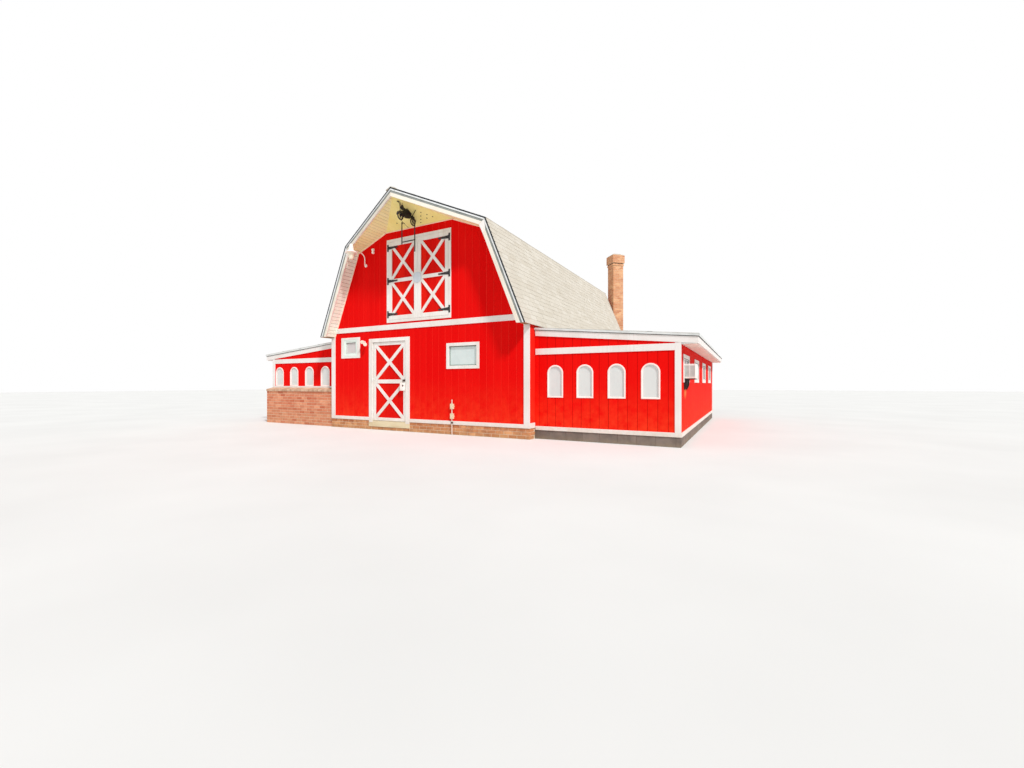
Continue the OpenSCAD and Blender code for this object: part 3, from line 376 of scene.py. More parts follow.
def revolve(profile, centre, axis=(0, 0, 1), steps=16):
    # a profile of (radius, height) turned round an axis, with its two ends closed to a point
    profile = np.asarray(profile, float)
    axis = np.array(axis, float) / np.linalg.norm(axis)
    side = np.cross(axis, (0, 1, 0) if abs(axis[1]) < 0.9 else (1, 0, 0))
    side /= np.linalg.norm(side)
    other = np.cross(axis, side)
    turn = np.arange(steps) * 2 * math.pi / steps
    ring = np.cos(turn)[:, None] * side + np.sin(turn)[:, None] * other
    pts = np.array(centre, float) + profile[:, None, 1:] * axis + profile[:, None, :1] * ring[None]
    return closedRings(pts, np.array([pts[0].mean(0), pts[-1].mean(0)]))


def tube(path, radius, steps=12):
    # a circle carried along a path, its frame turned as little as it can be from point to point
    path = np.asarray(path, float)
    along = np.gradient(path, axis=0)
    along /= np.linalg.norm(along, axis=1)[:, None]
    side = np.cross(along[0], (0.31, 0.17, 0.93))
    sides = []
    for t in along:
        side = side - t * side.dot(t)
        side /= np.linalg.norm(side)
        sides.append(side)
    sides = np.array(sides)
    others = np.cross(along, sides)
    turn = np.arange(steps) * 2 * math.pi / steps
    pts = path[:, None] + radius * (
        np.cos(turn)[None, :, None] * sides[:, None] + np.sin(turn)[None, :, None] * others[:, None])
    return closedRings(pts, path[[0, -1]])


def curve(points, steps):
    # a smooth path through points: a cubic between each pair, its slopes taken from its neighbours
    p = np.asarray(points, float)
    p = np.concatenate([[2 * p[0] - p[1]], p, [2 * p[-1] - p[-2]]])
    t = np.linspace(0, 1, steps, endpoint=False)[:, None]
    out = [0.5 * (2 * b + (c - a) * t + (2 * a - 5 * b + 4 * c - d) * t ** 2
                  + (3 * b - a - 3 * c + d) * t ** 3)
           for a, b, c, d in zip(p[:-3], p[1:-2], p[2:-1], p[3:])]
    return np.concatenate([*out, p[-2:-1]])


def colour(screen):
    # screen colour 0 to 255 into the linear values that nodes use
    c = np.array(screen) / 255
    c = np.where(c <= 0.04045, c / 12.92, ((c + 0.055) / 1.055) ** 2.4)
    return (*c.tolist(), 1.0)


def plug(tree, sockets, values):
    # links each output to its socket, and sets each plain value on it
    for key, value in values.items():
        if isinstance(value, bpy.types.NodeSocket):
            tree.links.new(value, sockets[key])
        else:
            sockets[key].default_value = value


def add(tree, kind, inputs={}, **settings):
    node = tree.nodes.new(kind)
    for key, value in settings.items():
        setattr(node, key, value)
    plug(tree, node.inputs, inputs)
    return node.outputs


def makeGroup(name, ins, outs):
    # a node group with named sockets: paints are colours, places and sizes vectors, the rest numbers
    kinds = dict.fromkeys(("Color", "Clean", "Worn"), "Color")
    kinds.update(dict.fromkeys(("Vector", "Stretch", "Centre", "Half", "Size"), "Vector"))
    tree = bpy.data.node_groups.new(name, "ShaderNodeTree")
    for way, labels in (("INPUT", ins), ("OUTPUT", outs)):
        for label in labels.split():
            kind = "NodeSocket" + kinds.get(label, "Float")
            tree.interface.new_socket(name=label, in_out=way, socket_type=kind)
    return tree, tree.nodes.new("NodeGroupInput").outputs, tree.nodes.new("NodeGroupOutput").inputs


def mixColour(tree, amount, a, b):
    return add(tree, "ShaderNodeMix", {0: amount, 6: a, 7: b}, data_type="RGBA")[2]


def maths(tree, kind, a, b=0.0, clamp=False):
    return add(tree, "ShaderNodeMath", {0: a, 1: b}, operation=kind, use_clamp=clamp)[0]


def vectorMaths(tree, kind, a, b=(0, 0, 0)):
    return add(tree, "ShaderNodeVectorMath", {0: a, 1: b}, operation=kind)


def noiseOf(tree, vector, stretch, scale, detail=3.0, rough=0.5):
    # noise in a space that is stretched along each axis
    at = vectorMaths(tree, "MULTIPLY", vector, stretch)[0]
    values = {"Vector": at, "Scale": scale, "Detail": detail, "Roughness": rough}
    return add(tree, "ShaderNodeTexNoise", values)[0]


def ramp(tree, value, low, high):
    # nought at the low value, one at the high value
    return add(tree, "ShaderNodeMapRange", {"Value": value, "From Min": low, "From Max": high})[0]


def makeWear():
    # colour drifts from the clean one to a worn one where a stretched noise is high
    tree, ins, outs = makeGroup("wear", "Vector Stretch Scale Clean Worn Amount", "Color Mask")
    noise = noiseOf(tree, ins["Vector"], ins["Stretch"], ins["Scale"], 4.0, 0.55)
    mask = maths(tree, "MULTIPLY", ramp(tree, noise, 0.42, 0.68), ins["Amount"], True)
    plug(tree, outs, {"Color": mixColour(tree, mask, ins["Clean"], ins["Worn"]), "Mask": mask})
    return tree


def makeGrain():
    # fine stretched noise over a coarser one, for sawn or brushed surfaces
    tree, ins, outs = makeGroup("grain", "Vector Stretch Scale Coarse", "Height Fine")
    fine = noiseOf(tree, ins["Vector"], ins["Stretch"], ins["Scale"], 3.0, 0.6)
    coarse = noiseOf(tree, ins["Vector"], ins["Stretch"], maths(tree, "MULTIPLY", ins["Scale"], 0.12), 2.0)
    height = maths(tree, "ADD", fine, maths(tree, "MULTIPLY", coarse, ins["Coarse"]))
    plug(tree, outs, {"Height": height, "Fine": fine})
    return tree


def makeSplashAndBounce():
    # dirt that fades out above the ground, broken up by noise; on the red paints it is partly dust and partly
    # painted bounce light, lighter and more orange near the ground
    tree, ins, outs = makeGroup("splashAndBounce", "Vector Floor Reach Amount", "Mask")
    z = add(tree, "ShaderNodeSeparateXYZ", {0: ins["Vector"]})[2]
    up = maths(tree, "DIVIDE", maths(tree, "SUBTRACT", z, ins["Floor"]), ins["Reach"])
    fade = maths(tree, "SUBTRACT", 1.0, up, True)
    noise = noiseOf(tree, ins["Vector"], (1, 1, 1), 7.0, 5.0, 0.6)
    mask = maths(tree, "MULTIPLY", maths(tree, "POWER", fade, 1.6), ramp(tree, noise, 0.25, 0.7))
    plug(tree, outs, {"Mask": maths(tree, "MULTIPLY", mask, ins["Amount"], True)})
    return tree


def makeStreaks():
    # narrow upright runs that come and go with the height
    tree, ins, outs = makeGroup("streaks", "Vector Amount", "Mask")
    runs = ramp(tree, noiseOf(tree, ins["Vector"], (1, 1, 0.03), 26.0, 3.0, 0.6), 0.52, 0.72)
    clouds = ramp(tree, noiseOf(tree, ins["Vector"], (1, 1, 1), 1.1, 2.0), 0.35, 0.65)
    mask = maths(tree, "MULTIPLY", maths(tree, "MULTIPLY", runs, clouds), ins["Amount"], True)
    plug(tree, outs, {"Mask": mask})
    return tree


def makeStain():
    # one round soft patch: strongest at its centre, nought at its size, broken up by noise
    tree, ins, outs = makeGroup("stain", "Vector Centre Size Amount", "Mask")
    away = vectorMaths(tree, "SUBTRACT", ins["Vector"], ins["Centre"])[0]
    far = vectorMaths(tree, "LENGTH", vectorMaths(tree, "DIVIDE", away, ins["Size"])[0])["Value"]
    noise = noiseOf(tree, ins["Vector"], (1, 1, 0.4), 22.0, 3.0, 0.6)
    near = maths(tree, "SUBTRACT", maths(tree, "ADD", noise, 0.8), far, True)
    plug(tree, outs, {"Mask": maths(tree, "MULTIPLY", near, ins["Amount"], True)})
    return tree


def makeInner():
    # one inside an upright box round a centre, nought outside it: the lined side of a wall
    tree, ins, outs = makeGroup("innerSide", "Vector Centre Half", "Mask")
    # both wings share one box, so the width is folded about the middle first
    x = add(tree, "ShaderNodeSeparateXYZ", {0: vectorMaths(tree, "ABSOLUTE", ins["Vector"])[0]})[0]
    rest = add(tree, "ShaderNodeSeparateXYZ", {0: ins["Vector"]})
    joined = add(tree, "ShaderNodeCombineXYZ", {0: x, 1: rest[1], 2: rest[2]})[0]
    away = vectorMaths(tree, "SUBTRACT", joined, ins["Centre"])[0]
    room = vectorMaths(tree, "SUBTRACT", ins["Half"], vectorMaths(tree, "ABSOLUTE", away)[0])[0]
    sides = add(tree, "ShaderNodeSeparateXYZ", {0: room})
    least = maths(tree, "MINIMUM", maths(tree, "MINIMUM", sides[0], sides[1]), sides[2])
    plug(tree, outs, {"Mask": maths(tree, "GREATER_THAN", least, 0.0)})
    return tree


wear, grain = makeWear(), makeGrain()
# layers over the paint, in order: a finish gives each one's colour, then these values
layers = [("run", makeStreaks(), ("Amount",)), ("dirt", makeSplashAndBounce(), ("Floor", "Reach", "Amount")),
          ("stain", makeStain(), ("Centre", "Size", "Amount")), ("lining", makeInner(), ("Centre", "Half"))]


def makeMaterial(name, s):
    # one surface: tone by board or brick, wear, flecks in the grain, the layers, and a bump
    mat = bpy.data.materials.new(name)
    mat.use_nodes = True
    tree = mat.node_tree
    base = colour(s["base"])
    mat.diffuse_color = base
    vector = add(tree, "ShaderNodeTexCoord")["Object"]
    if "tones" in s:
        tone = add(tree, "ShaderNodeAttribute", attribute_name="tone")["Fac"]
        base = mixColour(tree, tone, *map(colour, s["tones"]))

    def effect(group, **values):
        return add(tree, "ShaderNodeGroup", {"Vector": vector, **values}, node_tree=group)

    worn = effect(wear, Stretch=s["stretch"], Scale=s["wearScale"], Clean=base, Worn=colour(s["worn"]),
                  Amount=s["wearAmount"])
    sawn = effect(grain, Stretch=s["stretch"], Scale=s["grainScale"], Coarse=s["coarse"])
    paint = worn["Color"]
    if "fleck" in s:
        tint, low, high, amount = s["fleck"]
        mask = maths(tree, "MULTIPLY", ramp(tree, sawn["Fine"], low, high), amount, True)
        paint = mixColour(tree, mask, paint, colour(tint))
    for key, group, labels in layers:
        if key in s:
            tint, *values = s[key]
            mask = effect(group, **dict(zip(labels, values)))["Mask"]
            paint = mixColour(tree, mask, paint, colour(tint))
    vary = maths(tree, "MULTIPLY", worn["Mask"], s["roughVary"])
    bump = add(tree, "ShaderNodeBump", {"Height": sawn["Height"], "Distance": s["bump"], "Strength": 0.8})[0]
    shader = tree.nodes["Principled BSDF"].inputs
    plug(tree, shader, {"Base Color": paint, "Roughness": maths(tree, "ADD", vary, s["rough"], True),
                        "Specular IOR Level": s["spec"], "Normal": bump})
    if "coat" in s:
        plug(tree, shader, {"Coat Weight": s["coat"], "Coat Roughness": 0.05})
    return mat


def look(base, worn, rough, bump, shared={}, **more):
    # a finish: colour, worn colour, roughness and bump height, over the plain and the shared values
    plain = {"stretch": (1, 1, 1), "wearScale": 4.0, "wearAmount": 0.6, "grainScale": 70.0, "coarse": 0.4,
             "roughVary": 0.12, "spec": 0.3}
    return {**plain, **shared, **more, "base": base, "worn": worn, "rough": rough, "bump": bump}


upright, alongY = (1, 1, 0.045), (1, 0.1, 1)
# the red paints' foot layer is partly dust and partly painted bounce light from the ground: lighter and more
# orange near the foot
redPaint = {"stretch": upright, "wearAmount": 0.12, "grainScale": 90.0, "spec": 0.06,
            "dirt": ((255, 84, 44), 0.22, 1.3, 0.5)}
wallPaint = {"stretch": upright, "spec": 0.06}
whitePaint = {"wearAmount": 0.5, "spec": 0.25, "dirt": ((196, 166, 124), 0.1, 0.42, 0.6)}
brickClay = {"wearScale": 9.0, "grainScale": 120.0, "spec": 0.12}
iron = {"wearAmount": 0.5, "grainScale": 120.0, "roughVary": 0.25}
finishes = {
    "mainRed": look((228, 6, 5), (206, 2, 4), 0.78, 0.001, redPaint, tones=((225, 4, 4), (232, 14, 10)),
                    wearScale=9.0, run=((238, 34, 22), 0.15)),
    "wingRed": look((232, 9, 5), (208, 2, 4), 0.78, 0.001, redPaint, tones=((228, 6, 4), (237, 16, 10)),
                    wearScale=8.0, run=((240, 38, 24), 0.15)),
    # painted light: a lighter, more orange copy of the red paint for the side walls, standing in for sunlight
    # on them; its stain under the cooler is real rust
    "sunlitSideRed": look((228, 28, 18), (204, 14, 10), 0.78, 0.001, {**redPaint, "wearAmount": 0.2}, wearScale=6.0,
                    tones=((222, 22, 14), (236, 38, 26)), run=((240, 66, 44), 0.35),
                    stain=((222, 132, 72), (6.46, -3.6, 1.08), (0.4, 0.2, 0.11), 0.8)),
    "doorRed": look((226, 18, 8), (186, 2, 5), 0.72, 0.0012, tones=((216, 12, 6), (234, 30, 12)),
                    stretch=upright, wearScale=8.0, wearAmount=0.25, grainScale=80.0, spec=0.07),
    # painted highlight: the wall behind the siding is a lighter orange red, so the grooves read as light
    # lines as if the sun caught them; the lining colour inside is real
    "mainWallPaintedGlint": look((255, 74, 58), (228, 34, 28), 0.8, 0.001, wallPaint,
                     lining=((196, 168, 124), (0, 0, 3.0), (3.116, 4.356, 3.1))),
    # painted shade: the wall behind the wing siding is a much darker red, so the grooves read as dark lines;
    # the lining colour inside is real
    "wingWallGrooveShade": look((178, 5, 6), (146, 4, 5), 0.8, 0.001, wallPaint,
                     lining=((204, 184, 148), (4.795, 0.1325, 1.2), (1.545, 4.2525, 1.4))),
    "whiteTrim": look((238, 234, 229), (216, 207, 196), 0.52, 0.0006, whitePaint, wearScale=3.5,
                      tones=((230, 225, 219), (242, 239, 235)), stretch=(1, 1, 0.3),
                      run=((206, 190, 176), 0.35)),
    "trimBoard": look((235, 229, 225), (216, 206, 195), 0.52, 0.0006, whitePaint, wearScale=3.0,
                      stretch=(0.5, 0.5, 0.3), run=((208, 190, 176), 0.3)),
    "rakeCream": look((240, 232, 218), (222, 208, 188), 0.55, 0.0006, wearScale=2.4, stretch=(0.5, 1, 0.5),
                      spec=0.25),
    # painted shadow colour for the rake recess
    "rakeShadowGrey": look((146, 150, 146), (120, 124, 120), 0.6, 0.0003, wearScale=5.0, spec=0.25),
    "dripWhite": look((234, 236, 236), (206, 210, 210), 0.4, 0.0002, wearScale=5.0, spec=0.4),
    # painted light: the warm yellow tint of the hood's soffit boards stands in for warm bounce light under
    # the hood
    "hoodCreamBounceTint": look((254, 248, 190), (246, 234, 160), 0.6, 0.0006, tones=((250, 242, 178), (255, 252, 202)),
                      wearScale=2.2, wearAmount=0.45, stretch=alongY, spec=0.2),
    "rakeSoffit": look((244, 254, 238), (228, 236, 218), 0.6, 0.0006, wearScale=2.4, wearAmount=0.5,
                       tones=((239, 250, 231), (248, 255, 244)), stretch=alongY, spec=0.2),
    "friezeRose": look((255, 220, 202), (248, 200, 176), 0.55, 0.0004, wearScale=6.0, spec=0.2),
    "wingSoffit": look((248, 228, 214), (228, 202, 186), 0.6, 0.0005, wearScale=3.0, stretch=alongY,
                       tones=((242, 218, 203), (252, 236, 225)), spec=0.2),
    "hoodPly": look((250, 240, 160), (242, 226, 136), 0.65, 0.0006, wearScale=3.0, stretch=alongY,
                    grainScale=45.0, spec=0.15, fleck=((216, 190, 112), 0.5, 0.75, 0.3)),
    "shingle": look((208, 201, 188), (194, 186, 172), 0.92, 0.0015, tones=((201, 193, 179), (214, 208, 197)),
                    wearScale=1.3, wearAmount=0.5, grainScale=260.0, coarse=0.2, spec=0.1,
                    fleck=((172, 163, 148), 0.55, 0.74, 0.4)),
    # the dark shingle edge; the same colour is the painted shadow strip under the wing roof edges
    "darkEdgeAndShade": look((46, 50, 54), (78, 80, 80), 0.9, 0.001, wearScale=6.0, grainScale=200.0, spec=0.15),
    "wingRoofing": look((206, 203, 194), (190, 187, 177), 0.85, 0.0008, wearScale=1.0, grainScale=220.0,
                        tones=((201, 198, 189), (211, 208, 200)), spec=0.15,
                        fleck=((170, 165, 155), 0.5, 0.75, 0.4)),
    "edgeMetal": look((222, 224, 222), (190, 192, 188), 0.42, 0.0003, grainScale=40.0, spec=0.45),
    "footBrick": look((206, 140, 92), (146, 84, 60), 0.85, 0.002, brickClay,
                      tones=((178, 108, 68), (226, 166, 118)), fleck=((216, 168, 134), 0.5, 0.75, 0.25),
                      dirt=((182, 156, 112), 0.0, 0.25, 0.5)),
    "wallBrick": look((220, 138, 102), (184, 102, 76), 0.85, 0.002, brickClay, wearAmount=0.45,
                      tones=((196, 106, 76), (234, 164, 128)), fleck=((226, 164, 136), 0.5, 0.75, 0.25),
                      dirt=((178, 140, 104), 0.3, 0.4, 0.45)),
    "stackBrick": look((222, 160, 118), (188, 124, 94), 0.85, 0.002, brickClay,
                       tones=((202, 134, 98), (234, 182, 138)), wearAmount=0.4,
                       fleck=((232, 176, 136), 0.5, 0.75, 0.25)),
    "sillBrick": look((206, 170, 142), (168, 134, 110), 0.88, 0.002, {**brickClay, "spec": 0.1},
                      tones=((184, 144, 116), (222, 190, 164))),
    "mortar": look((226, 208, 180), (196, 174, 146), 0.92, 0.002, wearScale=8.0, grainScale=160.0, spec=0.1),
    "blockGrey": look((128, 114, 106), (100, 90, 84), 0.9, 0.002, tones=((116, 102, 95), (140, 126, 117)),
                      wearScale=5.0, grainScale=120.0, spec=0.1, dirt=((158, 140, 112), 0.0, 0.16, 0.6)),
    "blackIron": look((24, 23, 25), (56, 48, 44), 0.5, 0.0006, iron, wearScale=12.0, spec=0.4),
    # faded iron, also used for the painted shadow lines round the sashes
    "fadedIronAndShade": look((66, 60, 58), (112, 84, 66), 0.6, 0.0006, iron, wearScale=14.0),
    "rimRose": look((252, 234, 228), (240, 218, 210), 0.45, 0.0003, wearScale=6.0),
    "paneGrey": look((216, 217, 214), (202, 205, 204), 0.4, 0.0002, wearScale=1.6, grainScale=20.0,
                     spec=0.35),
    "plateBlue": look((204, 211, 218), (184, 192, 200), 0.5, 0.0004, wearScale=9.0),
    "paneRose": look((208, 200, 198), (190, 182, 182), 0.3, 0.0002, wearScale=3.0, grainScale=14.0, spec=0.4),
    "sashPale": look((226, 236, 228), (204, 214, 206), 0.45, 0.0003, wearScale=7.0),
    # the pale colour is partly blinds behind the glass and partly painted sky reflection; the lighter mottled
    # patches from the wear layer are painted reflection
    "panePaleReflecting": look((202, 214, 212), (214, 224, 221), 0.25, 0.0001, wearScale=2.2, wearAmount=0.8,
                     grainScale=10.0, spec=0.35, coat=0.15),
    # dark glass; its red tint and the lighter red mottled patches from the wear layer are painted reflection
    "paneDarkReflecting": look((86, 40, 42), (150, 60, 54), 0.2, 0.0001, wearScale=1.4, wearAmount=0.8,
                     grainScale=10.0, coat=0.1),
    "sashGrey": look((166, 180, 172), (134, 148, 142), 0.45, 0.0003, wearScale=6.0),
    "sashWhite": look((234, 234, 230), (206, 206, 200), 0.42, 0.0003, wearScale=6.0),
    "coolerWhite": look((248, 247, 243), (228, 225, 215), 0.4, 0.0002, wearScale=5.0, grainScale=120.0,
                        dirt=((196, 140, 90), 1.38, 0.1, 0.5)),
    "louvreGrey": look((204, 212, 208), (176, 182, 180), 0.5, 0.0002, wearScale=8.0),
    "lampWhite": look((252, 244, 238), (240, 222, 212), 0.35, 0.0002, wearScale=8.0, spec=0.4, coat=0.25),
    "lampGlass": look((250, 240, 218), (232, 216, 186), 0.15, 0.0015, wearScale=9.0, grainScale=14.0,
                      spec=0.5),
    "boxCream": look((232, 214, 180), (208, 184, 146), 0.5, 0.0004, wearScale=10.0),
    "pipeRose": look((232, 212, 200), (206, 180, 164), 0.5, 0.0003, wearScale=9.0),
    # painted shade for the vent holes
    "ventShadeDark": look((40, 36, 34), (66, 58, 52), 0.8, 0.0004, wearScale=10.0, spec=0.1),
    "deck": look((176, 140, 98), (136, 102, 68), 0.65, 0.001, stretch=(1, 0.08, 1), wearScale=6.0,
                 grainScale=60.0),
    "rawTimber": look((224, 210, 176), (198, 178, 140), 0.7, 0.001, stretch=(0.2, 1, 1), wearScale=8.0,
                      spec=0.15),
    "roofCore": look((150, 128, 96), (120, 98, 70), 0.8, 0.001, stretch=alongY, spec=0.1),
    "clayPot": look((176, 108, 78), (120, 84, 68), 0.8, 0.001, wearScale=7.0, spec=0.15),
    # painted shadow colour for the band under the chimney cap
    "capShadowBrown": look((120, 78, 54), (84, 54, 40), 0.9, 0.001, wearScale=9.0, spec=0.1),
    "cement": look((180, 172, 160), (144, 136, 124), 0.9, 0.002, wearScale=7.0, grainScale=120.0, spec=0.1),
}
materials = {name: makeMaterial(name, spec) for name, spec in finishes.items()}
print("materials", len(materials))

# CAD nodes that keep their own shapes, by finish
cadFinish = {
    "mainWallPaintedGlint": "front_wall_left front_wall_right front_wall_over_door front_gable rear_wall rear_gable"
                " main_side_walls",
    "wingWallGrooveShade": "right_wing_front_wall left_wing_front_wall wing_side_walls wing_rear_walls",
    "mortar": "main_foundation brick_wainscot wainscot_sill chimney",
    "blockGrey": "wing_foundations",
    "deck": "main_floor wing_floors loft_floor",
    "roofCore": "roof_right_upper roof_left_upper roof_right_lower roof_left_lower",
    "edgeMetal": "wing_roofs",
    "hoodPly": "hood_panel",
    "trimBoard": "fascia_boards",
    "rawTimber": "door_sill",
    "paneGrey": "arched_panes",
}


def dressFrame():
    # a finish on the object's own slots, so the CAD meshes stay as they are
    for name, nodes in cadFinish.items():
        for node in nodes.split():
            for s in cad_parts[node].material_slots:
                s.link = "OBJECT"
                s.material = materials[name]


dressFrame()

# siding; holes as (middle, width, low, high), arches as (first middle, step, width, low, height)
siding = {"pitch": 0.2032, "thick": 0.005, "mainGap": 0.006, "wingGap": 0.008, "mainPhase": 1.29,
          "wingPhase": 3.978, "paintedShine": 0.45, "mainLow": 0.3, "wingLow": 0.25, "wainscotLow": 1.17,
          "returns": (4.4975, 4.2365), "wingSpan": (3.262, 6.452), "wingDrop": 0.139, "ends": (-4.2345, 4.44),
          "endTop": 2.062, "sideHole": (1.01, 1.32, 1.86)}
windowHoles = {
    "front": [(-1.007, 1.435, -1, 2.505), (0, 2.11, 2.951, 5.168), (1.419, 0.94, 1.664, 2.274),
              (-2.474, 0.71, 2.03, 2.58)],
    "rear": [(1.6, 0.94, 1.664, 2.274), (-1.6, 0.94, 1.664, 2.274), (0, 0.94, 3.718, 4.328)],
    "side": [-3.44, -1.275, 0.89, 3.055],
}
arches = {"right": (3.77, 0.7, 0.381, 0.959, 0.738), "left": (-3.88, -0.74, 0.4, 1.2, 0.62), "rise": 0.165,
          "rim": 0.008}


def underRoof(u):
    # the underside of the gambrel above a point of an end wall
    long = math.hypot(1, (barn["ridgeZ"] - barn["kneeZ"]) / barn["kneeX"])
    upper = barn["ridgeZ"] - barn["roofDeep"] * long - barn["upSlope"] * abs(u)
    return np.minimum(upper, barn["innerKneeZ"] - barn["lowSlope"] * (abs(u) - barn["innerKneeX"])) + 0.004


def wingTop(u):
    # the wing roof's top, which falls evenly away from the main wall
    return barn["wingRoofZ"] - barn["wingFall"] * (abs(u) - barn["wallX"])


def makeSiding():
    # boards on every wall, from its foot to the roof's underside, left out at the openings
    s, knee = siding, barn["innerKneeX"]
    wing = {"pitch": s["pitch"], "gap": s["wingGap"], "thick": s["thick"]}
    main = {**wing, "gap": s["mainGap"], "paintedShine": s["paintedShine"]}
    foot, ends, returns = level(s["mainLow"]), [], []
    for side, wide, phase in (("front", 3.25, s["mainPhase"]), ("rear", 3.2, 0.1)):
        ends += boardWall(facing(side, barn[side + "Y"]), (-wide, wide), foot, underRoof,
                          [hole(*h) for h in windowHoles[side]], phase=phase, kinks=(-knee, 0, knee), **main)
    for side, sign in bothSides:
        span = sorted(-sign * y for y in s["returns"])
        returns += boardWall(facing(side, sign * barn["wallX"]), span, foot, level(barn["eaveZ"]),
                             phase=-4.41 * sign, **main)
    makePiece("mainSiding", ends, "mainRed")
    # the side returns take the red with painted sunlight
    makePiece("sideReturns", returns, "sunlitSideRed")

    under, foot = (lambda u: wingTop(u) - s["wingDrop"]), level(s["wingLow"])
    fronts, ends = [], []
    for side, sign in bothSides:
        x, step, w, z, h = arches[side]
        holes = [archHole(x + step * i, w, z, h, arches["rise"], arches["rim"]) for i in range(4)]
        span = sorted(sign * x for x in s["wingSpan"])
        low = foot if sign > 0 else level(s["wainscotLow"])
        fronts += boardWall(facing("front", barn["wingY"]), span, low, under, holes,
                            phase=sign * s["wingPhase"], **wing)
        fronts += boardWall(facing("rear", barn["rearY"]), span, foot, under, **wing)
    makePiece("wingSiding", fronts, "wingRed")
    for side, sign in bothSides:
        holes = [hole(sign * y, *s["sideHole"]) for y in windowHoles["side"]]
        ends += boardWall(facing(side, sign * barn["wingX"]), sorted(sign * y for y in s["ends"]), foot,
                          level(s["endTop"]), holes, phase=0.05, **wing)
    # the wing ends take the red with painted sunlight too
    makePiece("wingEndSiding", ends, "sunlitSideRed")


makeSiding()

# brickwork: a ring of courses round a rectangle, each corner brick laid once
brickwork = {"long": 0.2032, "high": 0.0677, "joint": 0.01, "deep": 0.092, "proud": 0.006, "rim": 0.0025}
largeBrick = dict(brickwork, long=0.2286, high=0.0847, joint=0.012)
blockwork = {"long": 0.406, "high": 0.203, "joint": 0.009, "deep": 0.092, "proud": 0.004, "rim": 0.003}
stack = {"at": (2.64, 5.1967), "half": 0.2275, "baseAt": (2.64, 5.009), "baseHalf": (0.45, 0.509)}
sill = {"x": (-6.454, -3.3), "count": 47, "gap": 0.005, "frontY": -4.486, "backY": -4.25, "bed": 1.036,
        "frontTop": 1.1, "backTop": 1.156}


def brickRing(centre, half, z0, z1, turn=0.0, sides=(0, 1, 2, 3), extents={}, unit=brickwork):
    # side k runs from its start corner; odd and even courses swap which side owns the corner
    rows = max(1, round((z1 - z0) / unit["high"]))
    high = (z1 - z0) / rows
    c, s = math.cos(turn), math.sin(turn)
    spin = np.array([[c, s, 0], [-s, c, 0], [0, 0, 1]])
    corners = [(-half[0], -half[1]), (half[0], -half[1]), (half[0], half[1]), (-half[0], half[1])]
    ways = [(1, 0), (0, 1), (-1, 0), (0, -1)]
    step, joint, proud = unit["deep"] + unit["joint"], unit["joint"], unit["proud"]
    parts = []
    for k in sides:
        length = 2 * half[k % 2]
        origin = np.array([*corners[k], 0.0]) @ spin + np.array([*centre, 0])
        where = axes(origin, np.array([*ways[k], 0.0]) @ spin, (0, 0, 1))
        first, last = extents.get(k, (-9, 99))
        lows, highs = [], []
        for r in range(rows):
            a, b = (-proud, length - step) if r % 2 == 0 else (step, length + proud)
            n = max(1, round((b - a + joint) / unit["long"]))
            pitch = (b - a + joint) / n
            starts = a + pitch * np.arange(n)
            lo = columns(starts, z0 + r * high + joint / 2, -unit["deep"])
            hi = columns(starts + pitch - joint, z0 + (r + 1) * high - joint / 2,
                         proud + rng.normal(0, 0.0012, n))
            keep = (starts > first - 0.05) & (starts + pitch < last + 0.12)
            lows.append(lo[keep])
            highs.append(hi[keep])
        lows, highs = np.concatenate(lows), np.concatenate(highs)
        tone = np.clip(rng.normal(0.5, 0.26, len(lows)), 0, 1)
        parts.append(cutBlocks(lows, highs, where, unit["rim"], tone))
    return parts


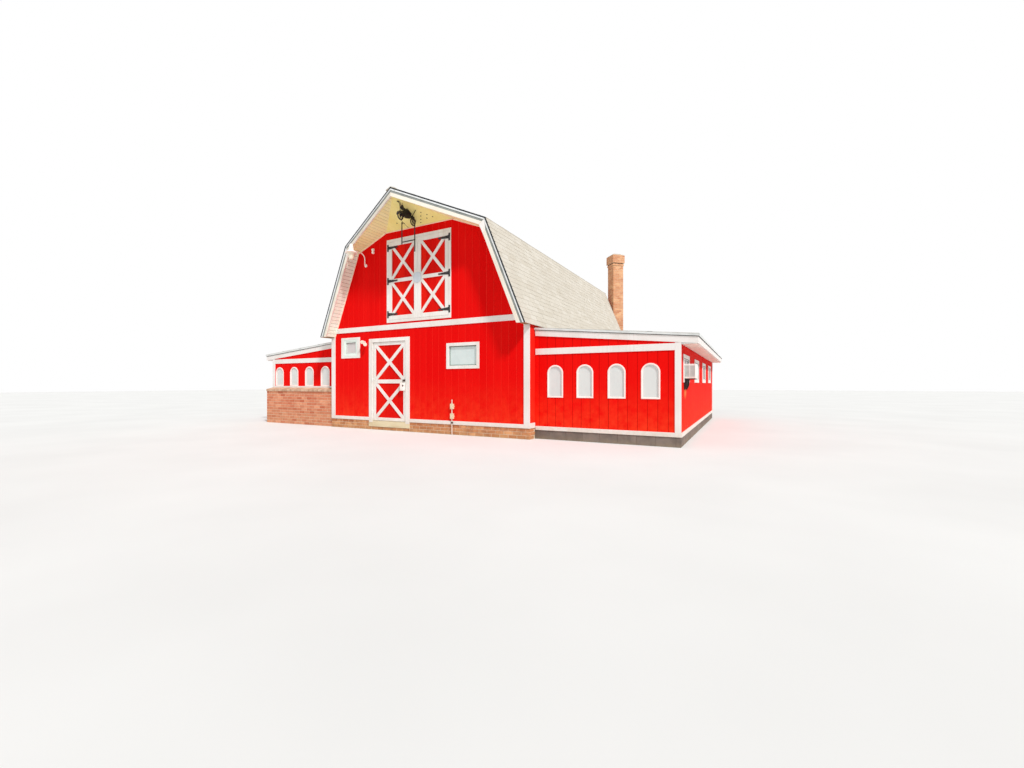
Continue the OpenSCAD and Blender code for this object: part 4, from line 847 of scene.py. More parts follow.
def makeBrickwork():
    foot = brickRing((0, 0), (barn["wallX"], barn["rearY"]), 0.0, 0.252, unit=largeBrick,
                     extents={1: (0, 0.265), 3: (8.735, 9.0)})
    makePiece("footBricks", foot, "footBrick")
    wain = brickRing((-4.877, -4.3425), (1.577, 0.1075), 0.0, 1.038, sides=(0, 1, 3), unit=largeBrick)
    makePiece("wainscotBricks", wain, "wallBrick")
    # the sill's bricks on edge: a level bed, a sloping top
    n, bed, back = sill["count"], sill["bed"], sill["backY"]
    x = np.linspace(*sill["x"], n + 1)
    a, b = x[:-1] + sill["gap"], x[1:] - sill["gap"]
    y = sill["frontY"] + rng.normal(0, 0.0015, n)
    low, high = sill["frontTop"], sill["backTop"]
    corners = [(a, y, bed), (b, y, bed), (b, back, bed), (a, back, bed),
               (a, y, low), (b, y, low), (b, back, high), (a, back, high)]
    bricks = hexas(np.stack([columns(*c) for c in corners], 1), np.clip(rng.normal(0.5, 0.26, n), 0, 1))
    makePiece("sillBricks", [bricks], "sillBrick", bevel=0.003)

    quarter, half = math.pi / 4, stack["half"]
    courses = []
    for out, z0, z1 in ((0, 1.9, 6.275), (0.0225, 6.275, 6.35), (0.045, 6.385, 6.715)):
        courses += brickRing(stack["at"], (half + out, half + out), z0, z1, quarter)
    courses += brickRing(stack["baseAt"], stack["baseHalf"], 0.0, 1.9, sides=(1, 2, 3))
    makePiece("chimneyBricks", courses, "stackBrick")
    # painted shadow: a dark brown band in the groove under the cap; then a sloped mortar crown and the clay
    # pot's rim round the flue
    turned = axes((*stack["at"], 0), (1, 1, 0), (-1, 1, 0))
    for name, finish, outer, inner, profile in (
            ("stackShadowBand", "capShadowBrown", half + 0.009, half - 0.012,
             [(0, 6.351), (0, 6.384), (1, 6.384), (1, 6.351)]),
            ("stackCrown", "cement", 0.268, 0.165, [(0, 6.712), (0, 6.724), (1, 6.758), (1, 6.712)]),
            ("stackPot", "clayPot", 0.16, 0.1175,
             [(0, 6.7), (0, 6.786), (0.2, 6.79), (0.8, 6.79), (1, 6.786), (1, 6.7)])):
        rings = [rect(-s, s, -s, s) for s in (outer, inner)]
        makePiece(name, [band(*rings, profile, turned)], finish)
    under = []
    for x, sides in ((4.8545, (0, 1, 2)), (-4.8545, (2, 3))):
        under += brickRing((x, 0.1325), (1.5995, 4.3675), 0.0, 0.203, sides=sides, unit=blockwork)
    makePiece("wingFootBlocks", under, "blockGrey")


makeBrickwork()

shingles = {"tab": 0.305, "show": 0.128, "butt": 0.008, "head": 0.003, "gap": 0.004, "over": 0.034}


def shingleSlope(where, length, uLow, uHigh):
    # wedge tabs in courses: thick at the butt, thin where the next course covers them
    tab, gap, head = shingles["tab"], shingles["gap"], shingles["head"]
    rows = round(length / shingles["show"])
    show = length / rows
    parts = []
    for r in range(rows):
        v0 = r * show - (0.012 if r == 0 else 0)
        v1 = min((r + 1) * show + 0.02, length)
        a, b = uLow(v0), uHigh(v0)
        start = math.floor(a / tab) * tab + (r % 2) * tab / 2 - tab
        u = np.arange(start, b + tab, tab)
        lo, hi = u + gap / 2, u + tab - gap / 2
        keep = (hi > max(a, uLow(v1)) + 0.01) & (lo < min(b, uHigh(v1)) - 0.01)
        lo, hi = lo[keep], hi[keep]
        n = len(lo)
        butt = shingles["butt"] + rng.uniform(-0.0015, 0.002, n)
        corners = [columns(np.clip(u, uLow(v), uHigh(v)), v, top if inFront else -0.004)
                   for inFront in (False, True)
                   for u, v, top in ((lo, v0, butt), (hi, v0, butt), (hi, v1, head), (lo, v1, head))]
        parts.append(hexas(place(np.stack(corners, 1), where), np.clip(rng.normal(0.5, 0.2, n), 0, 1)))
    return parts


def makeShingles():
    # a lower and an upper slope on each side; the upper ones reach out to the hood's peak
    low = (barn["eaveX"] - barn["kneeX"], barn["kneeZ"] - barn["eaveZ"])
    up = (barn["kneeX"], barn["ridgeZ"] - barn["kneeZ"])
    upLen = math.hypot(*up)
    rake = barn["rearY"] + barn["rakeOut"] + shingles["over"]
    grow = barn["hoodOut"] - barn["rakeOut"]
    front = lambda v: rake + grow * v / upLen
    parts = []
    for sign in (1, -1):
        eave = axes((sign * barn["eaveX"], 0, barn["eaveZ"]), (0, sign, 0), (-sign * low[0], 0, low[1]))
        parts += shingleSlope(eave, math.hypot(*low), lambda v: -rake, lambda v: rake)
        knee = axes((sign * barn["kneeX"], 0, barn["kneeZ"]), (0, sign, 0), (-sign * up[0], 0, up[1]))
        ends = (lambda v: -front(v), lambda v: rake) if sign > 0 else (lambda v: -rake, front)
        parts += shingleSlope(knee, upLen, *ends)
    makePiece("shingleCourses", parts, "shingle")

    # ridge caps: each laps the next, bent over the ridge
    caps = []
    y = np.arange(-barn["rearY"] - barn["hoodOut"] - shingles["over"], rake, shingles["show"])
    y1 = np.minimum(y + shingles["show"] + 0.03, rake)
    for sign in (1, -1):
        corners = [columns(sign * x, yy, barn["ridgeZ"] - barn["upSlope"] * x + (0.002 if under else tall))
                   for under in (True, False)
                   for yy, tall, x in ((y, 0.024, 0), (y, 0.024, 0.15), (y1, 0.014, 0.15), (y1, 0.014, 0))]
        order = list(range(8)) if sign > 0 else mirrored
        caps.append(hexas(np.stack(corners, 1)[:, order], np.clip(rng.normal(0.5, 0.24, len(y)), 0, 1)))
    makePiece("ridgeCaps", caps, "shingle")


makeShingles()

# bands along the roof's front and rear edges: depths below its top, then how far out they reach
rakeBands = [
    ("shingleStarter", "darkEdgeAndShade", "roof_shingle", -0.004, 0.026, 0.000, 0.043, None),
    ("rakeDrip", "dripWhite", "white_trim", 0.026, 0.062, 0.02, 0.039, 0.003),
    # painted shadow: the recess under the drip strip is mid grey, standing in for the strip's cast shadow
    ("rakeShadowRecess", "rakeShadowGrey", "white_trim", 0.062, 0.116, 0.02, 0.0275, None),
    ("rakeBoards", "rakeCream", "white_trim", 0.116, 0.203, 0.02, 0.038, 0.004),
]


def roofLines(d):
    # ridge height, knee and eave points of the gambrel at a depth below its top
    slopeUp = (barn["ridgeZ"] - barn["kneeZ"]) / barn["kneeX"]
    slopeLow = (barn["kneeZ"] - barn["eaveZ"]) / (barn["eaveX"] - barn["kneeX"])
    lenUp, lenLow = math.hypot(1, slopeUp), math.hypot(1, slopeLow)
    ridge = barn["ridgeZ"] - d * lenUp
    kx = barn["kneeX"] - d * lenLow / slopeLow + (barn["kneeZ"] - ridge) / slopeLow
    kx /= 1 - slopeUp / slopeLow
    kz = ridge - slopeUp * kx
    return (0.0, ridge), (kx, kz), (kx + (kz - barn["eaveZ"]) / slopeLow, barn["eaveZ"])


def gableBand(d0, d1, near, far, fromX=0.0, ends=(-1, 1)):
    # boards between two depths below the roof's top, from near to far along Y at each end
    solids = []
    for end in ends:
        for side in (-1, 1):
            for piece in (0, 1):
                ring = []
                for out in (near, far):
                    for d, corner in ((d1, piece), (d1, piece + 1), (d0, piece + 1), (d0, piece)):
                        x, z = roofLines(d)[corner]
                        if corner == 0 and fromX:
                            kx, kz = roofLines(d)[1]
                            z += (kz - z) * fromX / kx
                            x = fromX
                        ring.append((side * x, end * out(x, end, piece), z))
                solids.append(ring if side * end < 0 else [ring[i] for i in mirrored])
    return hexas(solids, rng.uniform(0.2, 0.8, len(solids)))


def rakeEdge(proud):
    # the roof's edge: straight below the knee, out to the hood's peak above it
    grow = barn["hoodOut"] - barn["rakeOut"]
    return lambda x, end, piece: (barn["rearY"] + barn["rakeOut"] + proud
                                  + (grow * (1 - x / barn["kneeX"]) if piece == 0 and end < 0 else 0.0))


def makeRakes():
    for name, finish, slot, d0, d1, o0, o1, bevel in rakeBands:
        makePiece(name, [gableBand(d0, d1, rakeEdge(o0), rakeEdge(o1))], finish, bevel=bevel)
    # the narrow board that covers the joint of wall and soffit
    near, far = (lambda x, end, piece, out=out: barn["rearY"] + out for out in (-0.002, 0.014))
    frieze = [gableBand(0.157, 0.193, near, far, fromX=1.12, ends=(-1,)),
              gableBand(0.157, 0.193, near, far, ends=(1,)),
              blocks((-1.15, 5.384, -0.002), (1.15, 5.41, 0.014), frontWall)]
    makePiece("friezeStrips", frieze, "friezeRose", bevel=0.002)


makeRakes()

soffit = {"pitch": 0.1016, "gap": 0.008, "thick": 0.007, "edge": 0.002, "spread": 0.15}
wingSoffit = {"pitch": 0.066, "gap": 0.004, "thick": 0.008, "edge": 0.002, "phase": 6.484}


def makeSoffits():
    # boards across the roof's underside, from the wall out to the rakes, and under the wings' eaves
    grow, wall = barn["hoodOut"] - barn["rakeOut"], 4.4985
    reach = barn["rearY"] + barn["rakeOut"]
    edge = lambda u: reach + grow * np.maximum(1 - u * 0.9285 / barn["kneeX"], 0) - 0.001
    flat = lambda u: np.full(len(u), reach - 0.001)
    hood, rest, wings = [], [], []
    for side in (1, -1):
        upper = axes((0, 0, barn["innerRidgeZ"]), (side, 0, -barn["upSlope"]), (0, -side, 0))
        lower = axes((side * barn["innerKneeX"], 0, barn["innerKneeZ"]), (side * 0.3807, 0, -0.9247),
                     (0, -side, 0))
        # in these frames v is Y turned round for the right side, so the front lies at side * v
        for where, span, out, sign, into in (
                (upper, (0.01, 2.33), edge, side, hood), (upper, (0.01, 2.33), flat, -side, rest),
                (lower, (0.008, 2.55), flat, side, rest), (lower, (0.008, 2.55), flat, -side, rest)):
            low, high = (level(wall), out) if sign > 0 else ((lambda u, f=out: -f(u)), level(-wall))
            into += boardWall(where, span, low, high, **soffit)
    makePiece("hoodSoffit", hood, "hoodCreamBounceTint")
    makePiece("rakeSoffits", rest, "rakeSoffit")
    for side in (1, -1):
        where = axes((0, 0, barn["soffitZ"]), (side, 0, 0), (0, -side, 0))
        low, high = sorted((side * -4.5, side * 4.235))
        wings += boardWall(where, (6.484, 6.748), level(low), level(high), **wingSoffit)
    makePiece("wingSoffits", wings, "wingSoffit")


makeSoffits()

# small round vents in the hood's plywood: shallow dark cups, painted shade where the open holes would be
vents = {"radius": 0.015, "at": [(0.384, -4.843), (0.307, -4.752), (0.229, -4.658), (0.161, -4.576),
                                 (0.505, -4.754), (0.427, -4.659), (0.616, -4.667), (-0.332, -4.66),
                                 (-0.533, -4.704)]}


def hoodZ(y):
    # the plywood's underside over a point in front of the wall
    return 5.4118 + (-4.5 - y) * 0.4716


def makeVents():
    r = vents["radius"]
    cup = [(0.0, -0.004), (r, -0.004), (r, 0.003), (r * 0.8, 0.004), (r * 0.62, 0.001), (0.0, 0.0005)]
    cups = [revolve(cup, (x, y, hoodZ(y)), (0, -0.4265, -0.9045), 20) for x, y in vents["at"]]
    makePiece("hoodVents", cups, "ventShadeDark")


makeVents()

# wing roofs; edge and gap boxes as (y0, y1, x0, x1), with the depths of their tops and feet; the gap boxes
# hold a dark strip that is painted shadow
wingRoof = {
    "eaveX": 6.79, "frontY": -4.283, "rearY": 4.548, "sheet": 0.88, "lap": 0.1,
    "edge": (-0.003, 0.047, ((-4.2805, -4.274, 3.262, 6.7955), (4.539, 4.5455, 3.262, 6.7955),
                             (-4.2805, 4.5455, 6.789, 6.7955))),
    "gap": (0.047, 0.06, ((-4.266, -4.256, 3.285, 6.781), (4.521, 4.531, 3.285, 6.781),
                           (-4.266, 4.531, 6.772, 6.781))),
}


def makeWingRoofs():
    # lapped sheets, metal edges that follow the top sheet's rim, and under them a dark strip of painted
    # shadow
    r, fall = wingRoof, barn["wingFall"]
    sheets, edges, shadowStrips = [], [], []
    for side in (1, -1):
        where = axes((side * r["eaveX"], 0, wingTop(r["eaveX"])), (0, side, 0), (-side, 0, fall))
        length = (r["eaveX"] - barn["wallX"]) * math.hypot(1, fall)
        a, b = sorted((side * r["frontY"], side * r["rearY"]))
        for v0 in np.arange(0, length, r["sheet"]):
            v1 = min(v0 + r["sheet"] + r["lap"], length)
            ring = rect(a, b, v0, v1)
            local = [*columns(*ring.T, -0.002), *columns(*ring.T, (0.007, 0.007, 0.003, 0.003))]
            sheets.append(hexas([place(local, where)], rng.uniform(0.2, 0.8)))
        for into, (top, foot, boxes) in ((edges, r["edge"]), (shadowStrips, r["gap"])):
            for y0, y1, x0, x1 in boxes:
                ring = [(side * x, y, wingTop(x) - drop) for drop in (foot, top)
                        for x, y in ((x0, y0), (x1, y0), (x1, y1), (x0, y1))]
                into.append(hexas([ring if side > 0 else [ring[i] for i in mirrored]]))
    makePiece("wingRoofSheets", sheets, "wingRoofing")
    makePiece("wingRoofEdges", edges, "edgeMetal", bevel=0.002)
    makePiece("wingEdgeShadow", shadowStrips, "darkEdgeAndShade")


makeWingRoofs()


def makeTrim():
    # trim boards and hinges keep their CAD shapes, with eased edges
    for name, node in (("cornerBoards", "corner_boards"), ("beltBoards", "belt_boards"),
                       ("baseBoards", "base_boards")):
        easedCopy(name, node, "trimBoard", 0.003)
    easedCopy("jambHinges", "door_hinges", "sashWhite", 0.0006)
    easedCopy("leafHinges", "leaf_hinges", "sashWhite", 0.0006, "front_door")


makeTrim()

casingThick, liningThick, revealDeep = 0.022, 0.018, 0.15

# front door: depths are measured outwards from the wall's face
door = {"left": -1.5965, "right": -0.4205, "low": 0.256, "high": 2.418, "rail": 0.085, "mid": 0.106,
        "brace": 0.09, "railFace": -0.008, "boardFace": -0.028, "back": -0.053, "boards": 8,
        "jambs": (-1.6035, -0.4105), "sill": 0.254, "head": 2.425, "casing": (-1.7435, -0.2705, 2.525),
        "paintLow": 0.205, "footLow": 0.09}
knob = {"at": (-0.455, 1.362), "profile": [
    (0, -0.009), (0.033, -0.009), (0.033, -0.004), (0.028, 0.0), (0.012, 0.004), (0.011, 0.03), (0.02, 0.036),
    (0.027, 0.048), (0.025, 0.06), (0.014, 0.066), (0, 0.067)]}


def makeDoor():
    d, wall = door, barn["frontY"]
    x0, x1, top = d["casing"]
    (a, b), head, foot = d["jambs"], d["head"], d["paintLow"]
    opening = (a, b, d["sill"], head)
    casing = [blocks((u0, z0, 0), (u1, z1, casingThick), frontWall, tone) for u0, u1, z0, z1, tone in
              ((x0, a, foot, head, 0.6), (b, x1, foot, head, 0.4), (x0, x1, head + 0.0006, top, 0.7))]
    lining = (a - liningThick, b + liningThick, d["sill"], head + liningThick)
    casing += ringBoards(lining, opening, -revealDeep, 0.0, frontWall)
    casing += ringBoards(opening, (a + 0.015, b - 0.015, d["sill"], head - 0.015), -0.088, -0.058, frontWall)
    makePiece("doorCasing", casing, "whiteTrim", replaces="door_casing", bevel=0.003)
    feet = [blocks((u0, d["footLow"], 0), (u1, foot - 0.001, 0.021), frontWall)
            for u0, u1 in ((x0, a), (b, x1))]
    makePiece("casingFeet", feet, "rawTimber", bevel=0.003)

    leaf = (d["left"], d["right"], d["low"], d["high"])
    boards = leafBoards(*leaf, d["back"], d["boardFace"], d["boards"], frontWall)
    makePiece("doorBoards", [boards], "doorRed", "front_door", "door_boards")
    rails = bracedLeaf(*leaf, d, d["boardFace"], d["railFace"], frontWall)
    makePiece("doorRails", rails, "whiteTrim", "front_door", "door_rails", bevel=0.0025)

    # lock box, wider at its top, with a dark keyhole plate; the knob stands above it
    box = prism([(-0.556, 1.09), (-0.434, 1.09), (-0.4205, 1.3), (-0.5705, 1.3)], -0.008, 0.062, frontWall)
    lid = prism([(-0.56, 1.244), (-0.431, 1.244), (-0.4265, 1.296), (-0.5645, 1.296)], 0.06, 0.067, frontWall)
    makePiece("lockBox", [box, lid], "lampWhite", "front_door", "lock_box", bevel=0.006)
    plate = [(0, 0.06), (0.023, 0.06), (0.023, 0.0665), (0.017, 0.069), (0, 0.069)]
    shackle = [(-0.5, -4.53, 1.296), (-0.502, -4.532, 1.326), (-0.486, -4.533, 1.341),
               (-0.47, -4.532, 1.326), (-0.472, -4.53, 1.296)]
    dark = [revolve(plate, (-0.462, wall, 1.222), (0, -1, 0), 28),
            revolve(knob["profile"], (knob["at"][0], wall, knob["at"][1]), (0, -1, 0), 32),
            tube(curve(shackle, 6), 0.0045)]
    makePiece("knobAndShackle", dark, "fadedIronAndShade", "front_door", smooth=40)


makeDoor()

loft = {"half": 1.074, "low": 2.932, "high": 5.187, "casing": 0.07, "leafLow": 3.006, "leafHigh": 5.113,
        "rail": 0.11, "mid": 0.0935, "brace": 0.08, "plate": 0.27, "boards": 7}
strapHinge = {"plateX": 1.052, "plateWide": 0.05, "plateHigh": 0.19, "long": 0.33, "root": 0.084,
              "face": 0.0285, "inEnd": 0.15}


def makeLoftDoor():
    s, z0, z1 = loft, loft["leafLow"], loft["leafHigh"]
    outer = (-s["half"], s["half"], s["low"], s["high"])
    inner = grown(*outer, -s["casing"])
    casing = ringBoards(outer, inner, 0, casingThick, frontWall)
    casing += ringBoards(grown(*inner, liningThick), inner, -revealDeep, 0.0, frontWall)
    casing += ringBoards(inner, grown(*inner, -0.02), -0.045, -0.0252, frontWall)
    makePiece("loftCasing", casing, "whiteTrim", replaces="loft_casing", bevel=0.003)
    boards, rails = [], []
    for side in (1, -1):
        x0, x1 = sorted((side * 0.002, side * 1.000))
        boards.append(leafBoards(x0, x1, z0, z1, -0.025, 0.0, s["boards"], frontWall))
        rails += bracedLeaf(x0, x1, z0, z1, s, 0.0, 0.022, frontWall)
    makePiece("loftBoards", boards, "doorRed", replaces="loft_door_boards")
    makePiece("loftRails", rails, "whiteTrim", replaces="loft_door_rails", bevel=0.0025)
    middle = (z0 + z1) / 2
    eighth = math.pi / 8
    plate = circleLine(0, middle, s["plate"] / 2 / math.cos(eighth), 8, eighth)
    makePiece("loftPlate", [prism(plate, 0.0222, 0.034, frontWall)], "plateBlue", bevel=0.002)

    h, straps, bolts = strapHinge, [], []
    face = barn["frontY"] - h["face"]
    root = h["plateX"] - h["plateWide"] + 0.004
    tip = root - h["long"]
    # the strap tapers to a neck and ends in a spear point
    upper = [(root, h["root"] / 2), (root - 0.03, 0.04), (tip + 0.05, 0.018), (tip + 0.034, 0.024),
             (tip + 0.014, 0.017), (tip, 0.0)]
    barrel = [(0, -0.048), (0.0085, -0.048), (0.0085, 0.048), (0, 0.048)]
    head = [(0, -0.002), (0.009, -0.002), (0.009, 0.003), (0.005, 0.006), (0, 0.0065)]
    heads = [(h["plateX"] - 0.02, dz) for dz in (-0.07, 0.07)]
    heads += [(tip + dx, 0.0) for dx in (0.075, 0.16, 0.25)]
    for side in (1, -1):
        for z in (z0 + h["inEnd"], middle, z1 - h["inEnd"]):
            tall = h["plateHigh"] / 2
            plate = rect(h["plateX"] - h["plateWide"], h["plateX"], z - tall, z + tall)
            strap = np.array([(x, z + y) for x, y in upper] + [(x, z - y) for x, y in upper[-2::-1]])
            for line, front in ((plate, h["face"] - 0.001), (strap, h["face"])):
                line = line * [side, 1]
                area = np.sum(line[:, 0] * np.roll(line[:, 1], -1) - np.roll(line[:, 0], -1) * line[:, 1])
                straps.append(prism(line if area > 0 else line[::-1], 0.0215, front, frontWall))
            straps.append(revolve(barrel, (side * (root - 0.002), face + 0.002, z)))
            bolts += [revolve(head, (side * x, face, z + dz), (0, -1, 0), 10) for x, dz in heads]
    makePiece("strapHinges", straps, "blackIron", replaces="strap_hinges", bevel=0.001)
    makePiece("strapBolts", bolts, "fadedIronAndShade")


makeLoftDoor()

# windows: opening centre, sill, width, height and casing widths, in the frame of their wall
windowSet = [("front", 1.419, 1.726, 0.817, 0.486, 0.08, 0.08),
             ("front", -2.474, 2.15, 0.39, 0.31, 0.18, 0.14)]
windowSet += [("rear", x, z, 0.817, 0.486, 0.08, 0.08) for x, z in ((-1.6, 1.726), (1.6, 1.726), (0, 3.78))]
windowSet += [(side, sign * y, 1.38, 0.89, 0.42, 0.08, 0.08) for side, sign in bothSides
              for y in windowHoles["side"]]
wallFace = {"front": barn["frontY"], "rear": barn["rearY"], "right": barn["wingX"], "left": -barn["wingX"]}
windowPieces = {
    "windowCasings": ("whiteTrim", "white_trim", "window_frames", 0.0025),
    "smallFrame": ("sashPale", "white_trim", None, 0.001),
    "smallPane": ("paneRose", "window_glass", None, None),
    "greySashes": ("sashGrey", "white_trim", None, None),
    "whiteSashes": ("sashWhite", "white_trim", None, None),
    "sashShadowLines": ("fadedIronAndShade", "black_iron", None, None),
    "palePanes": ("panePaleReflecting", "window_glass", "window_glass", None),
    "sidePanes": ("paneDarkReflecting", "window_glass", None, None),
    "archRims": ("rimRose", "window_rim", "arched_frames", None),
}


def makeWindows():
    parts = {name: [] for name in windowPieces}
    casings = parts["windowCasings"]
    for side, x, z, w, h, cw, ch in windowSet:
        where = facing(side, wallFace[side])
        sideWall, small = side in ("right", "left"), cw > 0.1
        opening = a, b, c, d = x - w / 2, x + w / 2, z, z + h
        outer = (a - cw, b + cw, c - ch, d + ch)
        if small:
            # a wide flat surround with a second, prouder frame inside it
            mid = (x - 0.27, x + 0.27, z - 0.09, z + h + 0.08)
            casings += ringBoards(outer, mid, 0, casingThick, where)
            step = [(0, 0), (0, 0.014), (0.06, 0.018), (0.5, 0.018), (0.56, 0.012), (1, 0.008), (1, 0)]
            parts["smallFrame"].append(band(rect(*mid), rect(*opening), step, where))
        else:
            casings += ringBoards(outer, opening, 0, casingThick, where)
        deep = 0.12 if sideWall else revealDeep
        casings += ringBoards(grown(*opening, liningThick), opening, -deep, 0.0, where)
        sash, pane = (("whiteSashes", "sidePanes") if sideWall else ("smallFrame", "smallPane") if small
                      else ("greySashes", "palePanes"))
        w1, s = 0.012 if sideWall else -0.012, 0.012 if small else 0.026
        inside = rect(*grown(*opening, -s))
        parts[sash].append(band(rect(*opening), inside, moulding(w1 - 0.024, w1, 0.16), where))
        # painted shadow: a dark line where the sash meets its frame, wider at the head and one side where the
        # frame's shade falls
        parts["sashShadowLines"] += ringBoards(opening, (a + 0.005, b - 0.012, c + 0.004, d - 0.014), w1 - 0.001,
                                         w1 + 0.0015, where)
        if sideWall:
            bar = (x - 0.016, c + 0.02, w1 - 0.022), (x + 0.016, d - 0.02, w1 - 0.004)
            parts[sash].append(blocks(*bar, where))
        glass = (a + 0.003, c + 0.003, w1 - 0.026), (b - 0.003, d - 0.003, w1 - 0.012)
        parts[pane].append(blocks(*glass, where))
    rim = [(0, -0.06), (0, 0.015), (0.15, 0.019), (0.75, 0.019), (1, 0.01), (1, -0.06)]
    for side in ("right", "left"):
        x, step, w, z, h = arches[side]
        for i in range(4):
            lines = [archLine(x + step * i, w, z, h, arches["rise"], inset) for inset in (0.0, 0.034)]
            parts["archRims"].append(band(*lines, rim, facing("front", barn["wingY"])))
    for name, (finish, slot, replaces, bevel) in windowPieces.items():
        makePiece(name, parts[name], finish, replaces=replaces, bevel=bevel)


makeWindows()

# air conditioner in the right wing's first side window
cooler = {"x0": 6.426, "x1": 6.684, "y0": -3.863, "y1": -3.367, "z0": 1.382, "z1": 1.678, "wallX": 6.462,
          "slatStep": 0.0125, "finStep": 0.011, "bracketY": (-3.8, -3.46)}


def makeCooler():
    k = cooler
    x1, y0, y1, z0, z1 = (k[key] for key in ("x1", "y0", "y1", "z0", "z1"))
    side, face, rear = facing("front", y0), facing("right", x1), facing("rear", y1)
    case = [blocks((k["x0"], z0, y0 - y1 + 0.01), (x1 - 0.012, z1, -0.01), side)]
    slats = []
    for where, mirror in ((side, 1), (rear, -1)):
        lo, hi = sorted((mirror * k["wallX"], mirror * x1))
        case.append(band(rect(lo, hi, z0, z1), rect(lo + 0.014, hi - 0.014, 1.414, 1.65),
                         moulding(-0.012, 0.0, 0.2), where))
        mid = (lo + hi) / 2
        case.append(blocks((mid - 0.008, 1.412, -0.01), (mid + 0.008, 1.652, 0.001), where))
        z = np.arange(1.418, 1.642, k["slatStep"])
        slats += [blocks(columns(a, z, -0.0105), columns(b, z + 0.007, -0.003), where)
                  for a, b in ((lo + 0.014, mid - 0.008), (mid + 0.008, hi - 0.014))]
    case.append(band(rect(y0 + 0.002, y1 - 0.002, z0, z1), rect(y0 + 0.03, y1 - 0.03, 1.408, 1.652),
                     moulding(-0.014, 0.0, 0.14), face))
    y = np.arange(y0 + 0.036, y1 - 0.036, k["finStep"])
    z = np.array([1.488, 1.568])
    case += [blocks(columns(y, 1.408, -0.0125), columns(y + 0.003, 1.652, -0.002), face),
             blocks(columns(y0 + 0.03, z, -0.01), columns(y1 - 0.03, z + 0.005, -0.001), face)]
    makePiece("coolerCase", case, "coolerWhite", replaces="air_conditioner", bevel=0.003)
    makePiece("coolerLouvres", slats, "louvreGrey")
    # side panel that closes the window beside it, and the iron bracket below
    wall = facing("right", barn["wingX"])
    panel = [blocks((y1 + 0.002, 1.384, -0.045), (-3.3, 1.796, -0.03), wall),
             blocks((y0 + 0.002, z1 + 0.004, -0.045), (-3.3, 1.796, -0.031), wall)]
    makePiece("coolerPanels", panel, "sashWhite", bevel=0.002)
    bracket = []
    for y in k["bracketY"]:
        gusset = [(6.461, 1.15), (6.484, 1.15), (6.52, 1.23), (6.535, 1.362), (6.461, 1.362)]
        bracket += [blocks((6.462, 1.362, 0), (6.668, 1.38, 0.028), facing("front", y)),
                    prism(gusset, 0.0, 0.028, facing("front", y))]
    makePiece("coolerBracket", bracket, "blackIron", bevel=0.001)


makeCooler()

# wall lights: gooseneck lamp, twin flood lamp and the sensor beside the loft door
lamp = {"x": -1.871, "axisY": -5.03, "rim": 0.16, "rimZ": 4.832, "plateZ": 4.6}
sensor = [((-1.582, 5.000), 0.045), ((-1.582, 4.928), 0.04)]      # lobes and their sizes
flood = {"x": -1.935, "z": 2.43, "heads": [((-1.89, -4.598, 2.452), (0.3, -0.88, -0.28)),
                                            ((-1.8, -4.6, 2.386), (0.62, -0.7, -0.3))]}


def makeLights():
    x, y, z, r, wall, out = lamp["x"], lamp["axisY"], lamp["rimZ"], lamp["rim"], barn["frontY"], (0, -1, 0)
    shade = [(0.0, 0.000), (r * 0.55, 0.000), (r, -0.004), (r + 0.004, 0.003), (r, 0.012), (r * 0.86, 0.026),
             (r * 0.6, 0.052), (0.07, 0.078), (0.062, 0.1), (0.06, 0.138), (0.066, 0.142), (0.066, 0.164),
             (0.048, 0.172), (0.044, 0.222), (0.028, 0.238), (0.0, 0.24)]
    arm = [(-4.504, 4.6), (-4.532, 4.602), (-4.545, 4.63), (-4.545, 4.76), (-4.575, 4.85), (-4.65, 4.906),
           (-4.76, 4.92), (-4.9, 4.916), (-4.99, 4.912)]
    plate = [(0, 0.0), (0.047, 0.0), (0.047, 0.01), (0.042, 0.02), (0.03, 0.03), (0.018, 0.034), (0, 0.034)]
    white = [revolve(shade, (x, y, z), steps=48), tube(curve([(x, *p) for p in arm], 6), 0.014, 16),
             revolve(plate, (x, wall, lamp["plateZ"]), out, 32)]
    for (sx, sz), size in sensor:
        dome = [(0, 0.0), (size * 0.9, 0.0), (size, 0.014), (size * 0.96, 0.036), (size * 0.7, 0.056),
                (size * 0.3, 0.066), (0, 0.068)]
        white.append(revolve(dome, (sx, wall, sz), out, 28))
    # flood lamp: a round box near the small window and two hooded heads on stems
    box = [(0, 0.0), (0.052, 0.0), (0.052, 0.022), (0.046, 0.03), (0, 0.031)]
    white.append(revolve(box, (flood["x"], wall, flood["z"]), out, 32))
    head = [(0, -0.045), (0.02, -0.044), (0.03, -0.032), (0.034, 0.0), (0.046, 0.046), (0.05, 0.052),
            (0.05, 0.058), (0.044, 0.06), (0.04, 0.05), (0, 0.048)]
    lens = [(0, 0.047), (0.039, 0.047), (0.039, 0.053), (0.026, 0.058), (0, 0.059)]
    glow = []
    for tip, aim in flood["heads"]:
        axis, tip = np.array(aim) / np.linalg.norm(aim), np.array(tip)
        stem = [(flood["x"], -4.525, 2.425), (tip[0] - 0.03, -4.56, tip[2] + 0.005), tuple(tip - axis * 0.02)]
        white += [tube(curve(stem, 5), 0.009), revolve(head, tip, axis, 28)]
        glow.append(revolve(lens, tip, axis, 24))
    makePiece("lampsWhite", white, "lampWhite", replaces="wall_lights", smooth=50)
    jar = [(0, -0.186), (0.034, -0.186), (0.054, -0.176), (0.064, -0.14), (0.082, -0.08), (0.1, -0.03),
           (0.106, 0.001), (0, 0.001)]
    glow.append(revolve(jar, (x, y, z), steps=36))
    makePiece("lampGlass", glow, "lampGlass", smooth=50)


makeLights()

# outlet boxes on their pipe
conduit = {"x": 1.118, "y": -4.536, "radius": 0.0125, "top": 0.856, "boxes": (0.399, 0.643)}


